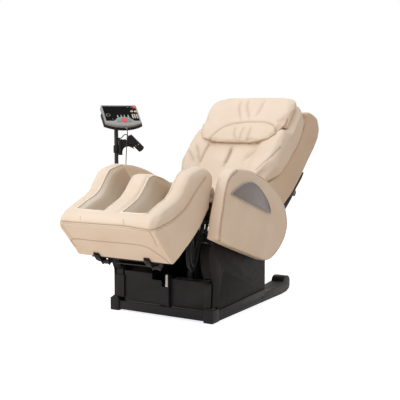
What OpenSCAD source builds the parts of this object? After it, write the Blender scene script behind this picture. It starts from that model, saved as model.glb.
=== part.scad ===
// Home massage chair: floor base, tilting seat with armrests, reclining back with a
// travelling kneading unit, calf and foot rest, and a control panel on a side stand.
// Millimetres.  X to the sitter's left, Y to the rear, Z up.  The origin is on the
// floor, midway along the floor skids.  The pieces are drawn in the resting pose.

/* [Base] */
// Width over the side panels of the base
base_w = 600; // [580:5:620]
// Length of the base box from front cover to rear cover
base_len = 580; // [560:5:600]
// Length of a floor skid with its upturned rear end
skid_len = 900; // [880:5:960]
// Width of a floor skid
skid_w = 75; // [66:1:80]
// Height of a floor skid along the base
skid_h = 58; // [54:1:62]
// Height of the upturned rear end of a skid
hook_h = 94; // [86:1:110]
// Wall of the side panels
panel_wall = 5; // [4:0.5:6]
// Height of the front cover's recessed wall
front_wall_h = 192; // [180:1:200]
// Width of a corner post of the front cover
post_w = 62; // [50:1:70]
// Height of the steel floor frame's tubes
frame_tube = 30; // [26:1:34]

/* [Seat] */
// Backward tilt of the seat, in degrees
seat_tilt = 19; // [17:0.5:20]
// Height of the seat's tilt axis
tilt_axis_z = 235; // [230:1:245]
// Diameter of the seat's tilt axle
tilt_axle_d = 20; // [16:1:22]
// Length of the seat cushion
cushion_len = 308; // [296:4:312]
// Thickness of the seat cushion at its edges
cushion_t = 78; // [66:1:82]
// Height of the seat cushion's crown
cushion_crown = 12; // [6:1:16]
// Diameter of the knee roll
knee_roll_d = 54; // [48:1:58]
// Room between a side of the base and the armrest that passes it
arm_clear = 10; // [8:1:20]
// Gap between the insides of the armrests
arm_gap = base_w + 2 * arm_clear;
// Room between the seat cushion and an armrest
cushion_room = 30; // [20:1:40]
// Width of the seat cushion
cushion_w = arm_gap - 2 * cushion_room;
// Thickness of an armrest
arm_t = 70; // [60:1:80]
// Edge rounding of an armrest
arm_edge_r = 14; // [8:1:18]
// Thickness of the grey plate let into an armrest
insert_t = 5; // [3:0.5:7]

/* [Back] */
// Lean of the back from upright, in degrees
back_lean = 47; // [45:0.5:48]
// Diameter of the recline axle
back_axle_d = 18; // [14:1:20]
// Room between the back and an armrest
back_room = 14; // [10:1:20]
// Width of the back
back_w = arm_gap - 2 * back_room;
// Wall of the padded outer cover at its sides
cover_wall = 36; // [30:1:38]
// Thickness of the plastic rear shell
shell_t = 4; // [3:0.5:5]
// Room between the back pad and a side of the outer cover
pad_room = 3; // [2:0.5:10]
// Width of the back pad
pad_w = back_w - 2 * cover_wall - 2 * pad_room;
// Thickness of the back pad along its middle
pad_t = 48; // [40:1:52]
// Height by which the side bolsters stand proud of the pad's middle
bolster_h = 14; // [8:1:18]
// Distance by which each end of the head pillow stops short of the back's side
pillow_short = 6; // [2:1:16]
// Width of the head pillow
pillow_w = back_w - 2 * pillow_short;
// Thickness of the head pillow
pillow_t = 52; // [44:1:60]

/* [Massage unit] */
// Spacing of the two guide rails, centre to centre
rail_gap = 300; // [290:2:310]
// Diameter of the lift screw
screw_d = 14; // [12:1:16]
// Diameter of a massage roller
roller_d = 50; // [44:1:52]
// Width of a massage roller
roller_w = 26; // [20:1:30]
// Spacing of the two massage arms, centre to centre
arm_pair_gap = 120; // [110:2:150]

/* [Calf and foot rest] */
// Slope of the calf rest from upright, in degrees
leg_lean = 48; // [46:0.5:50]
// Width of the rest at its toe edge
leg_w_toe = 546; // [530:2:556]
// Width of the rest at its knee end
leg_w_knee = 574; // [560:2:580]
// Width of one leg trough
trough_w = 124; // [112:1:130]
// Width of the divider between the troughs
divider_w = 104; // [96:1:116]
// Thickness of the wall at the toes
toe_wall = 84; // [76:1:92]
// Diameter of the leg rest axle
leg_axle_d = 18; // [14:1:20]
// Diameter of a floor roller
floor_roller_d = 22; // [18:1:26]

/* [Control stand] */
// Diameter of the stand's post
post_d = 22; // [18:1:24]
// Height of the top of the post
post_top = 933; // [915:3:948]
// Turn of the control panel towards the sitter's left, in degrees
panel_turn = 53; // [45:1:60]
// Lean of the control panel from upright, in degrees
panel_lean = 48; // [40:1:55]
// Width of the control panel
panel_w = 200; // [190:2:210]
// Height of the control panel's face
panel_h = 165; // [158:1:170]
// Thickness of the control panel
panel_t = 24; // [20:1:28]

/* [Fits] */
// Radial clearance of a running fit
fit = 0.08; // [0.05:0.01:0.1]
// Gap between soft pieces of different bodies
soft_gap = 3; // [2:0.5:5]

/* [Hidden] */

$fn = 48;
hide = "#ecdecd";
lining = "#c9c0b4";
black = "#272526";
steel = "#8a8d90";
cut = 1;             // overshoot of a cutting tool

// --- Frames -------------------------------------------------------------------------
// Seat coordinates: y to the rear along the seat, z square to it, from the tilt axis.
seat_axis = [0, 20, tilt_axis_z];
function from_seat(y, z) = [
    0, seat_axis[1] + y * cos(seat_tilt) + z * sin(seat_tilt),
    seat_axis[2] - y * sin(seat_tilt) + z * cos(seat_tilt)];
module seat_place() translate(seat_axis) rotate([-seat_tilt, 0, 0]) children();

// Back coordinates: z up the back, y square to it towards the rear, from the recline axle.
back_hinge = [-32, 185];
module back_place()
    translate(from_seat(back_hinge[0], back_hinge[1])) rotate([-back_lean, 0, 0]) children();

// Leg coordinates: z up along the calves, y towards the underside, from the knee axle.
leg_hinge = [-557, 205];
module leg_place()
    translate(from_seat(leg_hinge[0], leg_hinge[1])) rotate([-leg_lean, 0, 0]) children();
// The rest itself is drawn from its heel edge: u along the calves, v out of the surface.
knee_u = 414;
knee_v = -3;
module leg_rest_place() leg_place() translate([0, knee_v, -knee_u]) children();

// Stand coordinates: x along the panel's width, from the post's foot on the floor.
stand_gap = 125;     // from the base to the post's axis
stand_xy = [-base_w / 2 - stand_gap, -232];
module stand_place() translate([stand_xy[0], stand_xy[1], 0]) rotate([0, 0, panel_turn]) children();
// The sensor grip hangs in a plane turned by its own angle.
grip_turn = 31;
module grip_place() translate([stand_xy[0], stand_xy[1], 0]) rotate([0, 0, grip_turn]) children();
// Panel coordinates: face at y = 0, x along its width, z up the face.
knuckle_rise = 23;
panel_offset = [23, -56, 38];
module panel_place()
    stand_place() translate([0, 0, post_top + knuckle_rise]) rotate([-panel_lean, 0, 0])
        translate(panel_offset) children();

// --- Building blocks ----------------------------------------------------------------
module box(x0, x1, y0, y1, z0, z1) translate([x0, y0, z0]) cube([x1 - x0, y1 - y0, z1 - z0]);
module rod_x(x0, x1, y, z, d) translate([x0, y, z]) rotate([0, 90, 0]) cylinder(d = d, h = x1 - x0);
module rod_y(y0, y1, x, z, d) translate([x, y0, z]) rotate([-90, 0, 0]) cylinder(d = d, h = y1 - y0);
module rod_z(z0, z1, x, y, d) translate([x, y, z0]) cylinder(d = d, h = z1 - z0);
// A plate whose outline lies in the y-z plane.
module plate_x(x0, x1, outline)
    translate([x0, 0, 0]) rotate([90, 0, 90]) linear_extrude(x1 - x0) polygon(outline);
module both_sides() {
    children();
    mirror([1, 0, 0]) children();
}
// A box with round corners seen along y.
module round_plate(w, h, r, y0, y1, x = 0, z = 0)
    translate([x, y1, z]) rotate([90, 0, 0]) linear_extrude(y1 - y0) union() {
        square([w - 2 * r, h], center = true);
        square([w, h - 2 * r], center = true);
        for (sx = [-1, 1], sy = [-1, 1])
            translate([sx * (w / 2 - r), sy * (h / 2 - r)]) circle(r);
    }

function mid(points) = [for (k = [0:2]) vsum([for (p = points) p[k]]) / len(points)];
function vsum(list, i = 0) = i >= len(list) ? 0 : list[i] + vsum(list, i + 1);
function unit(v) = v / norm(v);
function lerp(a, b, t) = a + (b - a) * t;
// Closed smooth curve through points: steps points for each of them.
function smooth(p, steps) = [
    for (i = [0:len(p) - 1], j = [0:steps - 1])
        let (n = len(p), t = j / steps, a = p[(i + n - 1) % n], b = p[i], c = p[(i + 1) % n],
             d = p[(i + 2) % n])
        0.5 * (2 * b + (c - a) * t + (2 * a - 5 * b + 4 * c - d) * t * t
            + (3 * b - a - 3 * c + d) * t * t * t)];
// Outline drawn in by a distance, for a counter-clockwise outline.
function inset(p, d) = [
    for (i = [0:len(p) - 1])
        let (n = len(p), t = unit(p[(i + 1) % n] - p[(i + n - 1) % n])) p[i] + d * [-t[1], t[0]]];

// Solid through a stack of equal rings, closed by a fan at each end.
module skin(rings) {
    n = len(rings[0]);
    m = len(rings);
    sides = [for (j = [0:m - 2], i = [0:n - 1]) let (a = j * n + i, b = j * n + (i + 1) % n)
        each [[a, b + n, b], [a, a + n, b + n]]];
    ends = [for (i = [0:n - 1]) let (k = (i + 1) % n)
        each [[m * n, i, k], [m * n + 1, (m - 1) * n + k, (m - 1) * n + i]]];
    polyhedron(concat([for (r = rings) each r], [mid(rings[0]), mid(rings[m - 1])]),
        concat(sides, ends));
}
// Slab between two surfaces, each a grid of rows of points: front faces -y, rear faces +y.
module slab(front, rear) {
    m = len(front);
    n = len(front[0]);
    points = concat([for (r = front) each r], [for (r = rear) each r]);
    function at(j, i, side) = side * m * n + j * n + i;
    faces = [for (j = [0:m - 2], i = [0:n - 2]) each [
        [at(j, i, 0), at(j + 1, i, 0), at(j + 1, i + 1, 0)],
        [at(j, i, 0), at(j + 1, i + 1, 0), at(j, i + 1, 0)],
        [at(j, i, 1), at(j + 1, i + 1, 1), at(j + 1, i, 1)],
        [at(j, i, 1), at(j, i + 1, 1), at(j + 1, i + 1, 1)]]];
    low = [for (i = [0:n - 2]) each [
        [at(0, i, 0), at(0, i + 1, 1), at(0, i, 1)], [at(0, i, 0), at(0, i + 1, 0), at(0, i + 1, 1)],
        [at(m - 1, i, 0), at(m - 1, i, 1), at(m - 1, i + 1, 1)],
        [at(m - 1, i, 0), at(m - 1, i + 1, 1), at(m - 1, i + 1, 0)]]];
    ends = [for (j = [0:m - 2]) each [
        [at(j, 0, 0), at(j, 0, 1), at(j + 1, 0, 1)], [at(j, 0, 0), at(j + 1, 0, 1), at(j + 1, 0, 0)],
        [at(j, n - 1, 0), at(j + 1, n - 1, 1), at(j, n - 1, 1)],
        [at(j, n - 1, 0), at(j + 1, n - 1, 0), at(j + 1, n - 1, 1)]]];
    polyhedron(points, concat(faces, low, ends));
}

// Smooth open curve through points, for cords.
function course(p, steps) = concat([
    for (i = [0:len(p) - 2], j = [0:steps - 1])
        let (t = j / steps, b = p[i], c = p[i + 1], a = i > 0 ? p[i - 1] : 2 * b - c,
             d = i < len(p) - 2 ? p[i + 2] : 2 * c - b)
        0.5 * (2 * b + (c - a) * t + (2 * a - 5 * b + 4 * c - d) * t * t
            + (3 * b - a - 3 * c + d) * t * t * t)], [p[len(p) - 1]]);
// Round tube along a smooth course.
module tube(points, d, steps, sides) {
    p = course(points, steps);
    last = len(p) - 1;
    skin([for (i = [0:last])
        let (t = unit(p[min(i + 1, last)] - p[max(i - 1, 0)]),
             side = unit(cross(t, abs(t[0]) > 0.9 ? [0, 1, 0] : [1, 0, 0])), up = cross(t, side))
        [for (k = [0:sides - 1]) p[i] + d / 2 * (cos(360 * k / sides) * side
            + sin(360 * k / sides) * up)]]);
}

// --- Base ---------------------------------------------------------------------------
rear_y = 135;
front_y = rear_y - base_len;
side_x = base_w / 2;
panel_x = side_x - 4;                // outer face of a side panel
skid_x = side_x - skid_w;
deck_z = skid_h - 10;                // top of a skid under the base box
foot_x = side_x - 45;
foot_top = skid_h + 8;
tilt_foot = [60, -200, 60];          // lower pivot of the tilt actuator
upright_x = arm_gap / 2 - 42;
upright_t = 8;
pin_d = 10;
screw_spots = [[-330, 246], [109, 25], [-355, 24]];

module floor_frame() color(steel) difference() {
    union() {
        for (y = [front_y + 95, tilt_foot[1], 0, rear_y - 30])
            box(-skid_x, skid_x, y - frame_tube / 2, y + frame_tube / 2, 0, frame_tube);
        both_sides() {
            box(135, 165, front_y + 95, rear_y - 30, 0, frame_tube);
            box(skid_x - 30, skid_x, 5, 35, 0, deck_z + 5);
        }
        box(-upright_x - upright_t, upright_x + upright_t, seat_axis[1] - 15, seat_axis[1] + 15,
            deck_z, deck_z + frame_tube);
        both_sides() {
            box(upright_x, upright_x + upright_t, seat_axis[1] - 24, seat_axis[1] + 24,
                deck_z, tilt_axis_z);
            rod_x(upright_x, upright_x + upright_t, seat_axis[1], tilt_axis_z, 48);
        }
        for (side = [-1, 1])
            translate([tilt_foot[0] + side * 12, 0, 0])
                box(-3, 3, tilt_foot[1] - 13, tilt_foot[1] + 13, frame_tube - 2, tilt_foot[2] + 13);
        rod_x(tilt_foot[0] - 15, tilt_foot[0] + 15, tilt_foot[1], tilt_foot[2], pin_d);
    }
    rod_x(-side_x, side_x, seat_axis[1], tilt_axis_z, tilt_axle_d + 2 * fit);
}

module skids() color(black) both_sides() difference() {
    union() {
        plate_x(skid_x, panel_x, [
            [front_y + 55, 0], [349, 0], [411, 6], [440, 16], [skid_len / 2, 32],
            [skid_len / 2, 66], [skid_len / 2 - 8, hook_h - 12], [skid_len / 2 - 24, hook_h - 2],
            [skid_len / 2 - 42, hook_h], [skid_len / 2 - 64, hook_h - 2],
            [skid_len / 2 - 78, hook_h - 10], [skid_len / 2 - 87, deck_z + 18],
            [297, deck_z + 12], [200, deck_z + 4], [rear_y, deck_z], [front_y + 55, deck_z]]);
        plate_x(panel_x, side_x, [
            [front_y + 55, 0], [349, 0], [411, 6], [440, 16], [skid_len / 2, 32],
            [skid_len / 2, 66], [skid_len / 2 - 8, hook_h - 12], [skid_len / 2 - 24, hook_h - 2],
            [skid_len / 2 - 42, hook_h], [skid_len / 2 - 64, hook_h - 2],
            [skid_len / 2 - 78, hook_h - 10], [skid_len / 2 - 87, deck_z + 18],
            [297, deck_z + 12], [200, deck_z + 4], [rear_y, deck_z + 4], [rear_y, deck_z + 19],
            [front_y + 55, deck_z + 5]]);
    }
    for (s = [screw_spots[1], screw_spots[2]]) rod_x(side_x - 14, side_x + cut, s[0], s[1], 5);
}

module corner_feet() color(black) both_sides() {
    box(foot_x, side_x + 8, front_y - 11, front_y + 54.5, 0, foot_top);
    box(foot_x + 7, side_x, front_y - 6, front_y + 30, foot_top, foot_top + 7);
}

module front_cover() color(black) {
    wall = 5;
    step_x = 50;
    rail_x = foot_x - 0.5;
    deep = 15;
    // bottom rail with its twin ridges
    box(-rail_x, rail_x, front_y - 5, front_y + 12, 8, skid_h - 6);
    for (x = [[-206, -4], [64, rail_x - 4]], y = [-2, 6])
        box(x[0], x[1], front_y + y, front_y + y + 3, skid_h - 6, skid_h - 2);
    difference() {
        union() {
            // left wall, its raised step and the right wall set further back
            box(-228, step_x, front_y + 10, front_y + 10 + wall, skid_h - 6, front_wall_h + 20);
            box(step_x - wall, step_x, front_y - 3, front_y + 10 + deep + wall, 10,
                front_wall_h + 18);
            box(step_x - wall, rail_x - 2, front_y + 10 + deep, front_y + 10 + deep + wall,
                skid_h - 6, front_wall_h);
            box(step_x - wall, rail_x - 2, front_y + 12, front_y + 10 + deep + wall, skid_h - 10,
                skid_h - 6);
        }
        box(-57, 30, front_y, front_y + 40, front_wall_h - 11, front_wall_h + 40);
        box(0, 30, front_y, front_y + 40, front_wall_h - 42, front_wall_h);
    }
    // slanted top of the left wall and the flat shelf on the right
    plate_x(-206, -85, [
        [front_y + 15, front_wall_h], [front_y + 15, front_wall_h + 5],
        [front_y + 70, front_wall_h + 34], [front_y + 70, front_wall_h + 29]]);
    box(step_x, rail_x - 2, front_y + 30, front_y + 90, front_wall_h - 6, front_wall_h);
    // corner posts
    box(-post_w - 225, -225, front_y - 2, front_y + 40, foot_top + 8, front_wall_h - 4);
    box(-post_w - 221, -241, front_y + 13, front_y + 40, front_wall_h - 4, front_wall_h + 42);
    box(rail_x - 2, rail_x + 34, front_y, front_y + 40, foot_top + 8, front_wall_h);
}

// Outline of a side panel's curled front edge, from the foot up.
panel_front = [
    [18, 182], [8, 217], [-12, 260], [-23, 300], [-24, 335], [-19, 361], [-7, 381], [12, 391]];
module side_panels() color(black) both_sides() difference() {
    union() {
        plate_x(panel_x - panel_wall, panel_x, concat(
            [[rear_y, deck_z + 20], [rear_y, 300]],
            [[front_y + 40, 394]],
            [for (i = [len(panel_front) - 1:-1:0]) [front_y, 0] + panel_front[i]],
            [[front_y + 9, 74], [front_y + 57, 74], [front_y + 57, deck_z + 20]]));
        box(panel_x - panel_wall, panel_x, front_y + 57, rear_y, deck_z, deck_z + 20);
        // inward return along the curled front edge
        plate_x(panel_x - 50, panel_x - panel_wall, concat(
            [for (i = [1:len(panel_front) - 1]) [front_y, 0] + panel_front[i]],
            [for (i = [len(panel_front) - 1:-1:1]) [front_y + 4, -1] + panel_front[i]]));
    }
    rod_x(panel_x - 20, panel_x + cut, screw_spots[0][0], screw_spots[0][1], 5);
}

window = [68, 202, 58, 122];         // rear opening for the power unit: x, x, z, z
module rear_cover() color(black) difference() {
    box(-panel_x + panel_wall, panel_x - panel_wall, rear_y - 6, rear_y, deck_z, 290);
    box(window[0], window[1], rear_y - 6 - cut, rear_y + cut, window[2], window[3]);
    for (z = [170:14:254]) box(-120, 120, rear_y - 6 - cut, rear_y + cut, z, z + 6);
}

switch_at = [144, rear_y - 9, 84];
inlet_at = [94, rear_y - 2, 86];
module power_unit() color(black) difference() {
    union() {
        box(40, skid_x - 4, rear_y - 85, rear_y - 9, frame_tube, 150);
        box(window[0] + 2, window[1] - 2, rear_y - 9, rear_y - 2, window[2] + 2, window[3] - 2);
    }
    difference() {
        box(inlet_at[0] - 14, inlet_at[0] + 14, rear_y - 20, rear_y, inlet_at[2] - 11,
            inlet_at[2] + 11);
        for (p = [[-7, -3], [7, -3], [0, 4]])
            box(inlet_at[0] + p[0] - 1, inlet_at[0] + p[0] + 1, rear_y - 20, rear_y - 5,
                inlet_at[2] + p[1] - 3, inlet_at[2] + p[1] + 3);
    }
    box(switch_at[0] - 13, switch_at[0] + 13, rear_y - 26, rear_y, switch_at[2] - 15,
        switch_at[2] + 15);
    rod_x(switch_at[0] - 17, switch_at[0] + 17, switch_at[1], switch_at[2], 4 + 2 * fit);
}

module power_switch() color("#151515") {
    plate_x(switch_at[0] - 12, switch_at[0] + 12, [
        [switch_at[1] - 7, switch_at[2] - 6], [switch_at[1] - 7, switch_at[2] + 6],
        [switch_at[1] + 6, switch_at[2] + 11], [switch_at[1] + 9, switch_at[2] + 11],
        [switch_at[1] + 7, switch_at[2]],
        [switch_at[1] + 9, switch_at[2] - 11], [switch_at[1] + 6, switch_at[2] - 11]]);
    rod_x(switch_at[0] - 16, switch_at[0] + 16, switch_at[1], switch_at[2], 4);
}

module air_pump() color("#3c3f45") {
    box(5 - skid_x, 155 - skid_x, -150, -30, frame_tube, frame_tube + 62);
    for (x = [45, 115]) rod_z(frame_tube + 62, frame_tube + 84, x - skid_x, -90, 56);
    rod_x(-skid_x - 17, 5 - skid_x, -90, frame_tube + 42, 16);
}

module cover_screws() color(steel) both_sides() for (s = [0:2]) {
    face = s == 0 ? panel_x : side_x;
    rod_x(face, face + 2.5, screw_spots[s][0], screw_spots[s][1], 10);
    rod_x(face - (s == 0 ? panel_wall : 12), face, screw_spots[s][0], screw_spots[s][1], 4.6);
}

socket_z = 140;
module stand_bracket() color(black) difference() {
    union() {
        box(-panel_x - 8, -panel_x, stand_xy[1] - 45, stand_xy[1] + 45, socket_z + 2,
            socket_z + 108);
        box(stand_xy[0], -panel_x - 8, stand_xy[1] - 12, stand_xy[1] + 12, socket_z + 20,
            socket_z + 70);
        rod_z(socket_z, socket_z + 100, stand_xy[0], stand_xy[1], post_d + 16);
    }
    rod_z(socket_z + 10, socket_z + 100 + cut, stand_xy[0], stand_xy[1], post_d + 2 * fit);
}

// --- Linear actuators ---------------------------------------------------------------
// Drawn along z from the rear eye.  The far eye is a slot across the rod, because the far
// pin moves on an arc about its own hinge.
rod_d = 20;
motor_d = 42;
eye_gap = 1.5;       // room round the far pin along the rod
eye_play = 9;        // extra room across the rod, each way
module actuator_body(length, side) difference() {
    union() {
        rod_x(-8, 8, 0, 0, 30);
        box(-8, 8, -13, 13, 0, 20);
        box(-19, 19, side * 20 - 40, side * 20 + 40, 18, 36);
        rod_z(36, length, 0, 0, 38);
        rod_z(36, 150, 0, side * 41, motor_d);
    }
    rod_x(-10, 10, 0, 0, pin_d + 2 * fit);
    rod_z(48, length + cut, 0, 0, rod_d + 2 * fit);
}
module actuator_rod(start, length) difference() {
    union() {
        rod_z(start, length - 22, 0, 0, rod_d);
        box(-5, 5, -pin_d / 2 - eye_gap - eye_play - 6, pin_d / 2 + eye_gap + eye_play + 6,
            length - 28, length + 13);
    }
    for (side = [-1, 1])
        rod_x(-7, 7, side * eye_play, length, pin_d + 2 * eye_gap);
    box(-7, 7, -eye_play, eye_play, length - pin_d / 2 - eye_gap, length + pin_d / 2 + eye_gap);
}
// Pair of lever cheeks from a hinge to the far pin, with the pin.
module lever(x, from, to) {
    d = to - from;
    for (side = [-1, 1]) translate([x + side * 11, from[0], from[1]])
        rotate([atan2(-d[0], d[1]), 0, 0]) {
            box(-3, 3, -12, 12, 0, norm(d));
            rod_x(-3, 3, 0, norm(d), 28);
            rod_x(-3, 3, 0, 0, 32);
        }
    rod_x(x - 14, x + 14, to[0], to[1], pin_d);
}
// Eye bracket that hangs from a cross tube, with its pin.
module hanger(x, at, top) {
    for (side = [-1, 1]) translate([x + side * 12, 0, 0]) {
        box(-3, 3, at[0] - 13, at[0] + 13, at[1], top);
        rod_x(-3, 3, at[0], at[1], 30);
    }
    rod_x(x - 15, x + 15, at[0], at[1], pin_d);
}

// Pins in seat coordinates; a lever's angle is measured from the seat's y axis.
lever_r = 60;
leg_act_x = -110;
leg_act_rear = [-190, 95];
leg_pin = leg_hinge + lever_r * [cos(255), sin(255)];
back_act_x = -30;
back_act_rear = [-420, 100];
back_pin = back_hinge + lever_r * [cos(275), sin(275)];
tilt_pin = [-300, 120];
tilt_pin_world = from_seat(tilt_pin[0], tilt_pin[1]);
leg_act_len = norm(leg_pin - leg_act_rear);
back_act_len = norm(back_pin - back_act_rear);
tilt_act_len = norm(tilt_pin_world - [0, tilt_foot[1], tilt_foot[2]]);
body_len = 270;
rod_start = 100;

module leg_act_place() seat_place() translate([leg_act_x, leg_act_rear[0], leg_act_rear[1]])
    rotate([atan2(leg_act_rear[0] - leg_pin[0], leg_pin[1] - leg_act_rear[1]), 0, 0]) children();
module back_act_place() seat_place() translate([back_act_x, back_act_rear[0], back_act_rear[1]])
    rotate([atan2(back_act_rear[0] - back_pin[0], back_pin[1] - back_act_rear[1]), 0, 0]) children();
module tilt_act_place() translate(tilt_foot)
    rotate([atan2(tilt_foot[1] - tilt_pin_world[1], tilt_pin_world[2] - tilt_foot[2]), 0, 0]) children();

module leg_actuator() color(black) leg_act_place() actuator_body(body_len, -1);
module leg_rod() color(steel) leg_act_place() actuator_rod(rod_start, leg_act_len);
module back_actuator() color(black) back_act_place() actuator_body(body_len, 1);
module back_rod() color(steel) back_act_place() actuator_rod(rod_start, back_act_len);
module tilt_actuator() color(black) tilt_act_place() actuator_body(body_len, -1);
module tilt_rod() color(steel) tilt_act_place() actuator_rod(rod_start, tilt_act_len);

// --- Seat ---------------------------------------------------------------------------
rail_out = arm_gap / 2 - 36;
rail_in = rail_out - 24;
cheek_x = rail_in + 4;
seat_front = -500;
tube_low = 165;
deck = 190;
ear_x = 176;
hose_x = [204, 215, 226];

module seat_frame() color(black) seat_place() difference() {
    union() {
        both_sides() {
            box(rail_in, rail_out, seat_front, 20, 140, deck);
            plate_x(cheek_x, cheek_x + 8, [
                [-60, 150], [-28, 60], [-24, -6], [24, -6], [30, 60], [72, 84], [72, 120],
                [12, 190], [-8, 206], [-56, 206]]);
            rod_x(cheek_x, cheek_x + 8, 0, 0, 58);
            rod_x(cheek_x, upright_x + upright_t + 5, 0, 0, tilt_axle_d);
            for (y = [-400, -100]) box(rail_out, arm_gap / 2, y - 20, y + 20, 150, 180);
            plate_x(ear_x, ear_x + 8, [
                [-470, tube_low], [-500, tube_low], [-566, 192], [-566, 216], [-548, 216],
                [-520, deck + 4], [-470, deck]]);
            rod_x(ear_x, ear_x + 8, leg_hinge[0], leg_hinge[1], 36);
        }
        for (y = [-485, back_act_rear[0], tilt_pin[0], leg_act_rear[0]])
            box(-rail_in - 2, rail_in + 2, y - 15, y + 15, tube_low, deck);
        box(-cheek_x, cheek_x, 36, 66, 86, 116);
        box(-cheek_x + 6, cheek_x - 6, 66, 70, 86, 158);
        box(-rail_in - 12, rail_in + 12, seat_front, -170, deck - 2, deck + 3);
        hanger(leg_act_x, leg_act_rear, tube_low + 2);
        hanger(back_act_x, back_act_rear, tube_low + 2);
        hanger(tilt_foot[0], tilt_pin, tube_low + 2);
        // port of the air hoses
        box(hose_x[0] - 8, hose_x[2] + 8, -495, -467, 104, tube_low + 2);
        for (x = hose_x) rod_z(96, 105, x, -481, 13);
    }
    rod_x(-side_x, side_x, back_hinge[0], back_hinge[1], back_axle_d + 2 * fit);
    both_sides() rod_x(ear_x - cut, ear_x + 8 + cut, leg_hinge[0], leg_hinge[1],
        leg_axle_d + 2 * fit);
}

// Cushion: rings along the seat, each a round-cornered box with a crowned top.
cushion_front = -476;
function cushion_ring(y, w, low, high, crown) = [
    for (p = [[-1, 0.25], [-0.985, 0.06], [-0.95, 0], [-0.4, 0], [0.4, 0], [0.95, 0], [0.985, 0.06],
              [1, 0.25], [1, 0.66], [0.975, 0.86], [0.92, 0.97], [0.75, 1], [0.4, 1], [0, 1],
              [-0.4, 1], [-0.75, 1], [-0.92, 0.97], [-0.975, 0.86], [-1, 0.66]])
        [p[0] * w, y, lerp(low, high, p[1]) + (p[1] == 1 ? crown * (1 - p[0] * p[0]) : 0)]];
module seat_cushion() color(hide) seat_place() {
    y1 = cushion_front;
    y2 = cushion_front + cushion_len;
    w = cushion_w / 2;
    z0 = deck + 3;
    z1 = deck + 3 + cushion_t;
    skin([for (r = [[0, 0.97, 6, -22, 0], [8, 0.99, 1, -6, 0.3], [26, 1, 0, 0, 0.7], [90, 1, 0, 0, 1],
                    [160, 0.985, 0, 0, 1], [cushion_len - 80, 0.99, 0, 0, 0.9],
                    [cushion_len - 30, 1, 0, -2, 0.5], [cushion_len - 8, 0.99, 1, -12, 0.2],
                    [cushion_len, 0.96, 8, -34, 0]])
        [for (k = cushion_ring(y1 + r[0], w * r[1], z0 + r[2], z1 + r[3], cushion_crown * r[4])) k]]);
}

roll_at = [-508, deck + 60];
module knee_roll() color(lining) seat_place() {
    w = rail_out - 12;
    // the soft roll over the pad in front of the cushion
    for (r = [[roll_at, knee_roll_d / 2, knee_roll_d / 2], [[-494, deck + 17], 18, 13]])
        skin([for (s = [[-1, 0.7], [-0.975, 0.93], [-0.9, 1], [-0.4, 0.97], [0, 0.96], [0.4, 0.97],
                        [0.9, 1], [0.975, 0.93], [1, 0.7]])
            [for (a = [0:22.5:359]) [s[0] * w, r[0][0] + r[1] * s[1] * cos(a),
                r[0][1] + r[2] * s[1] * sin(a)]]]);
}

arm_outline = [
    [-566, 5], [-342, 2], [-63, 5], [-7, 14], [45, 42], [107, 101], [150, 169], [158, 241],
    [139, 276], [85, 335], [-16, 376], [-128, 399], [-212, 410], [-307, 409], [-395, 399],
    [-486, 378], [-545, 350], [-572, 309], [-580, 209], [-584, 111], [-577, 20]];
module armrest() seat_place() {
    line = smooth(arm_outline, 2);
    x = arm_gap / 2;
    r = arm_edge_r;
    skin([for (s = [[0, 0.7], [0.3, 0.15], [1, 0]]) [for (p = inset(line, s[1] * r))
            [x + s[0] * r, p[0], p[1]]],
        for (s = [[1, 0], [0.3, 0.15], [0, 0.7]]) [for (p = inset(line, s[1] * r))
            [x + arm_t - s[0] * r, p[0], p[1]]]]);
}
module left_armrest() color(hide) armrest();
module right_armrest() color(hide) mirror([1, 0, 0]) armrest();

module arm_inserts() color("#777074") both_sides() seat_place()
    plate_x(arm_gap / 2 + arm_t, arm_gap / 2 + arm_t + insert_t, [
        [-531, 241], [-512, 236], [-330, 238], [-111, 243], [-93, 250], [-95, 266], [-118, 288],
        [-150, 307], [-176, 318], [-230, 337], [-285, 348], [-330, 350], [-366, 344],
        [-410, 328], [-451, 305], [-490, 277], [-525, 250]]);

// Air hoses hang in loops from the seat frame's port to the leg rest's underside.
hose_route = [
    [-403.6, 482.2], [-406.5, 473.8], [-413, 450], [-425, 405], [-444, 350], [-466, 296],
    [-492, 270], [-515, 292], [-522, 345], [-517, 395], [-516, 428], [-523, 442.6], [-529.35, 449.48]];
module leg_hoses() color("#1d1d1f") for (k = [0:2])
    tube([for (i = [0:len(hose_route) - 1])
        [hose_x[k], hose_route[i][0], hose_route[i][1]
            - (i > 3 && i < 9 ? [0, 12, -14][k] : 0)]], 9, 2, 8);

// --- Back ---------------------------------------------------------------------------
back_rail_x = 190;
guide_d = 16;
guide_y = 40;
low_cross = 45;
high_cross = 832;
cross_h = 30;
journal_d = 10;
module back_frame() color(black) {
    back_place() difference() {
        union() {
            both_sides() {
                box(back_rail_x, back_rail_x + 25, 20, 60, -20, high_cross + cross_h + 5);
                box(back_rail_x, back_rail_x + 25, -14, 40, -20, 14);
                rod_z(low_cross + cross_h - 5, high_cross + 5, rail_gap / 2, guide_y, guide_d);
                for (z = [200, 600]) box(196, 204, 60, 140, z, z + 20);
            }
            for (z = [low_cross, high_cross])
                box(-back_rail_x, back_rail_x, 20, 60, z, z + cross_h);
            rod_x(-cheek_x - 16, cheek_x + 16, 0, 0, back_axle_d);
        }
        rod_z(0, high_cross + 2 * cross_h, 0, guide_y, journal_d + 2 * fit);
    }
    seat_place() lever(back_act_x, back_hinge, back_pin);
}

module lift_motor() color("#2c2e33") back_place() {
    rod_z(2, low_cross - 1, 0, guide_y, 52);
    rod_z(low_cross - 1, low_cross, 0, guide_y, 30);
}

module lift_screw() color(steel) back_place() {
    rod_z(low_cross + 1, low_cross + cross_h + 1, 0, guide_y, journal_d);
    rod_z(low_cross + cross_h + 1, high_cross - 1, 0, guide_y, screw_d);
    rod_z(high_cross - 1, high_cross + cross_h - 2, 0, guide_y, journal_d);
}

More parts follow.
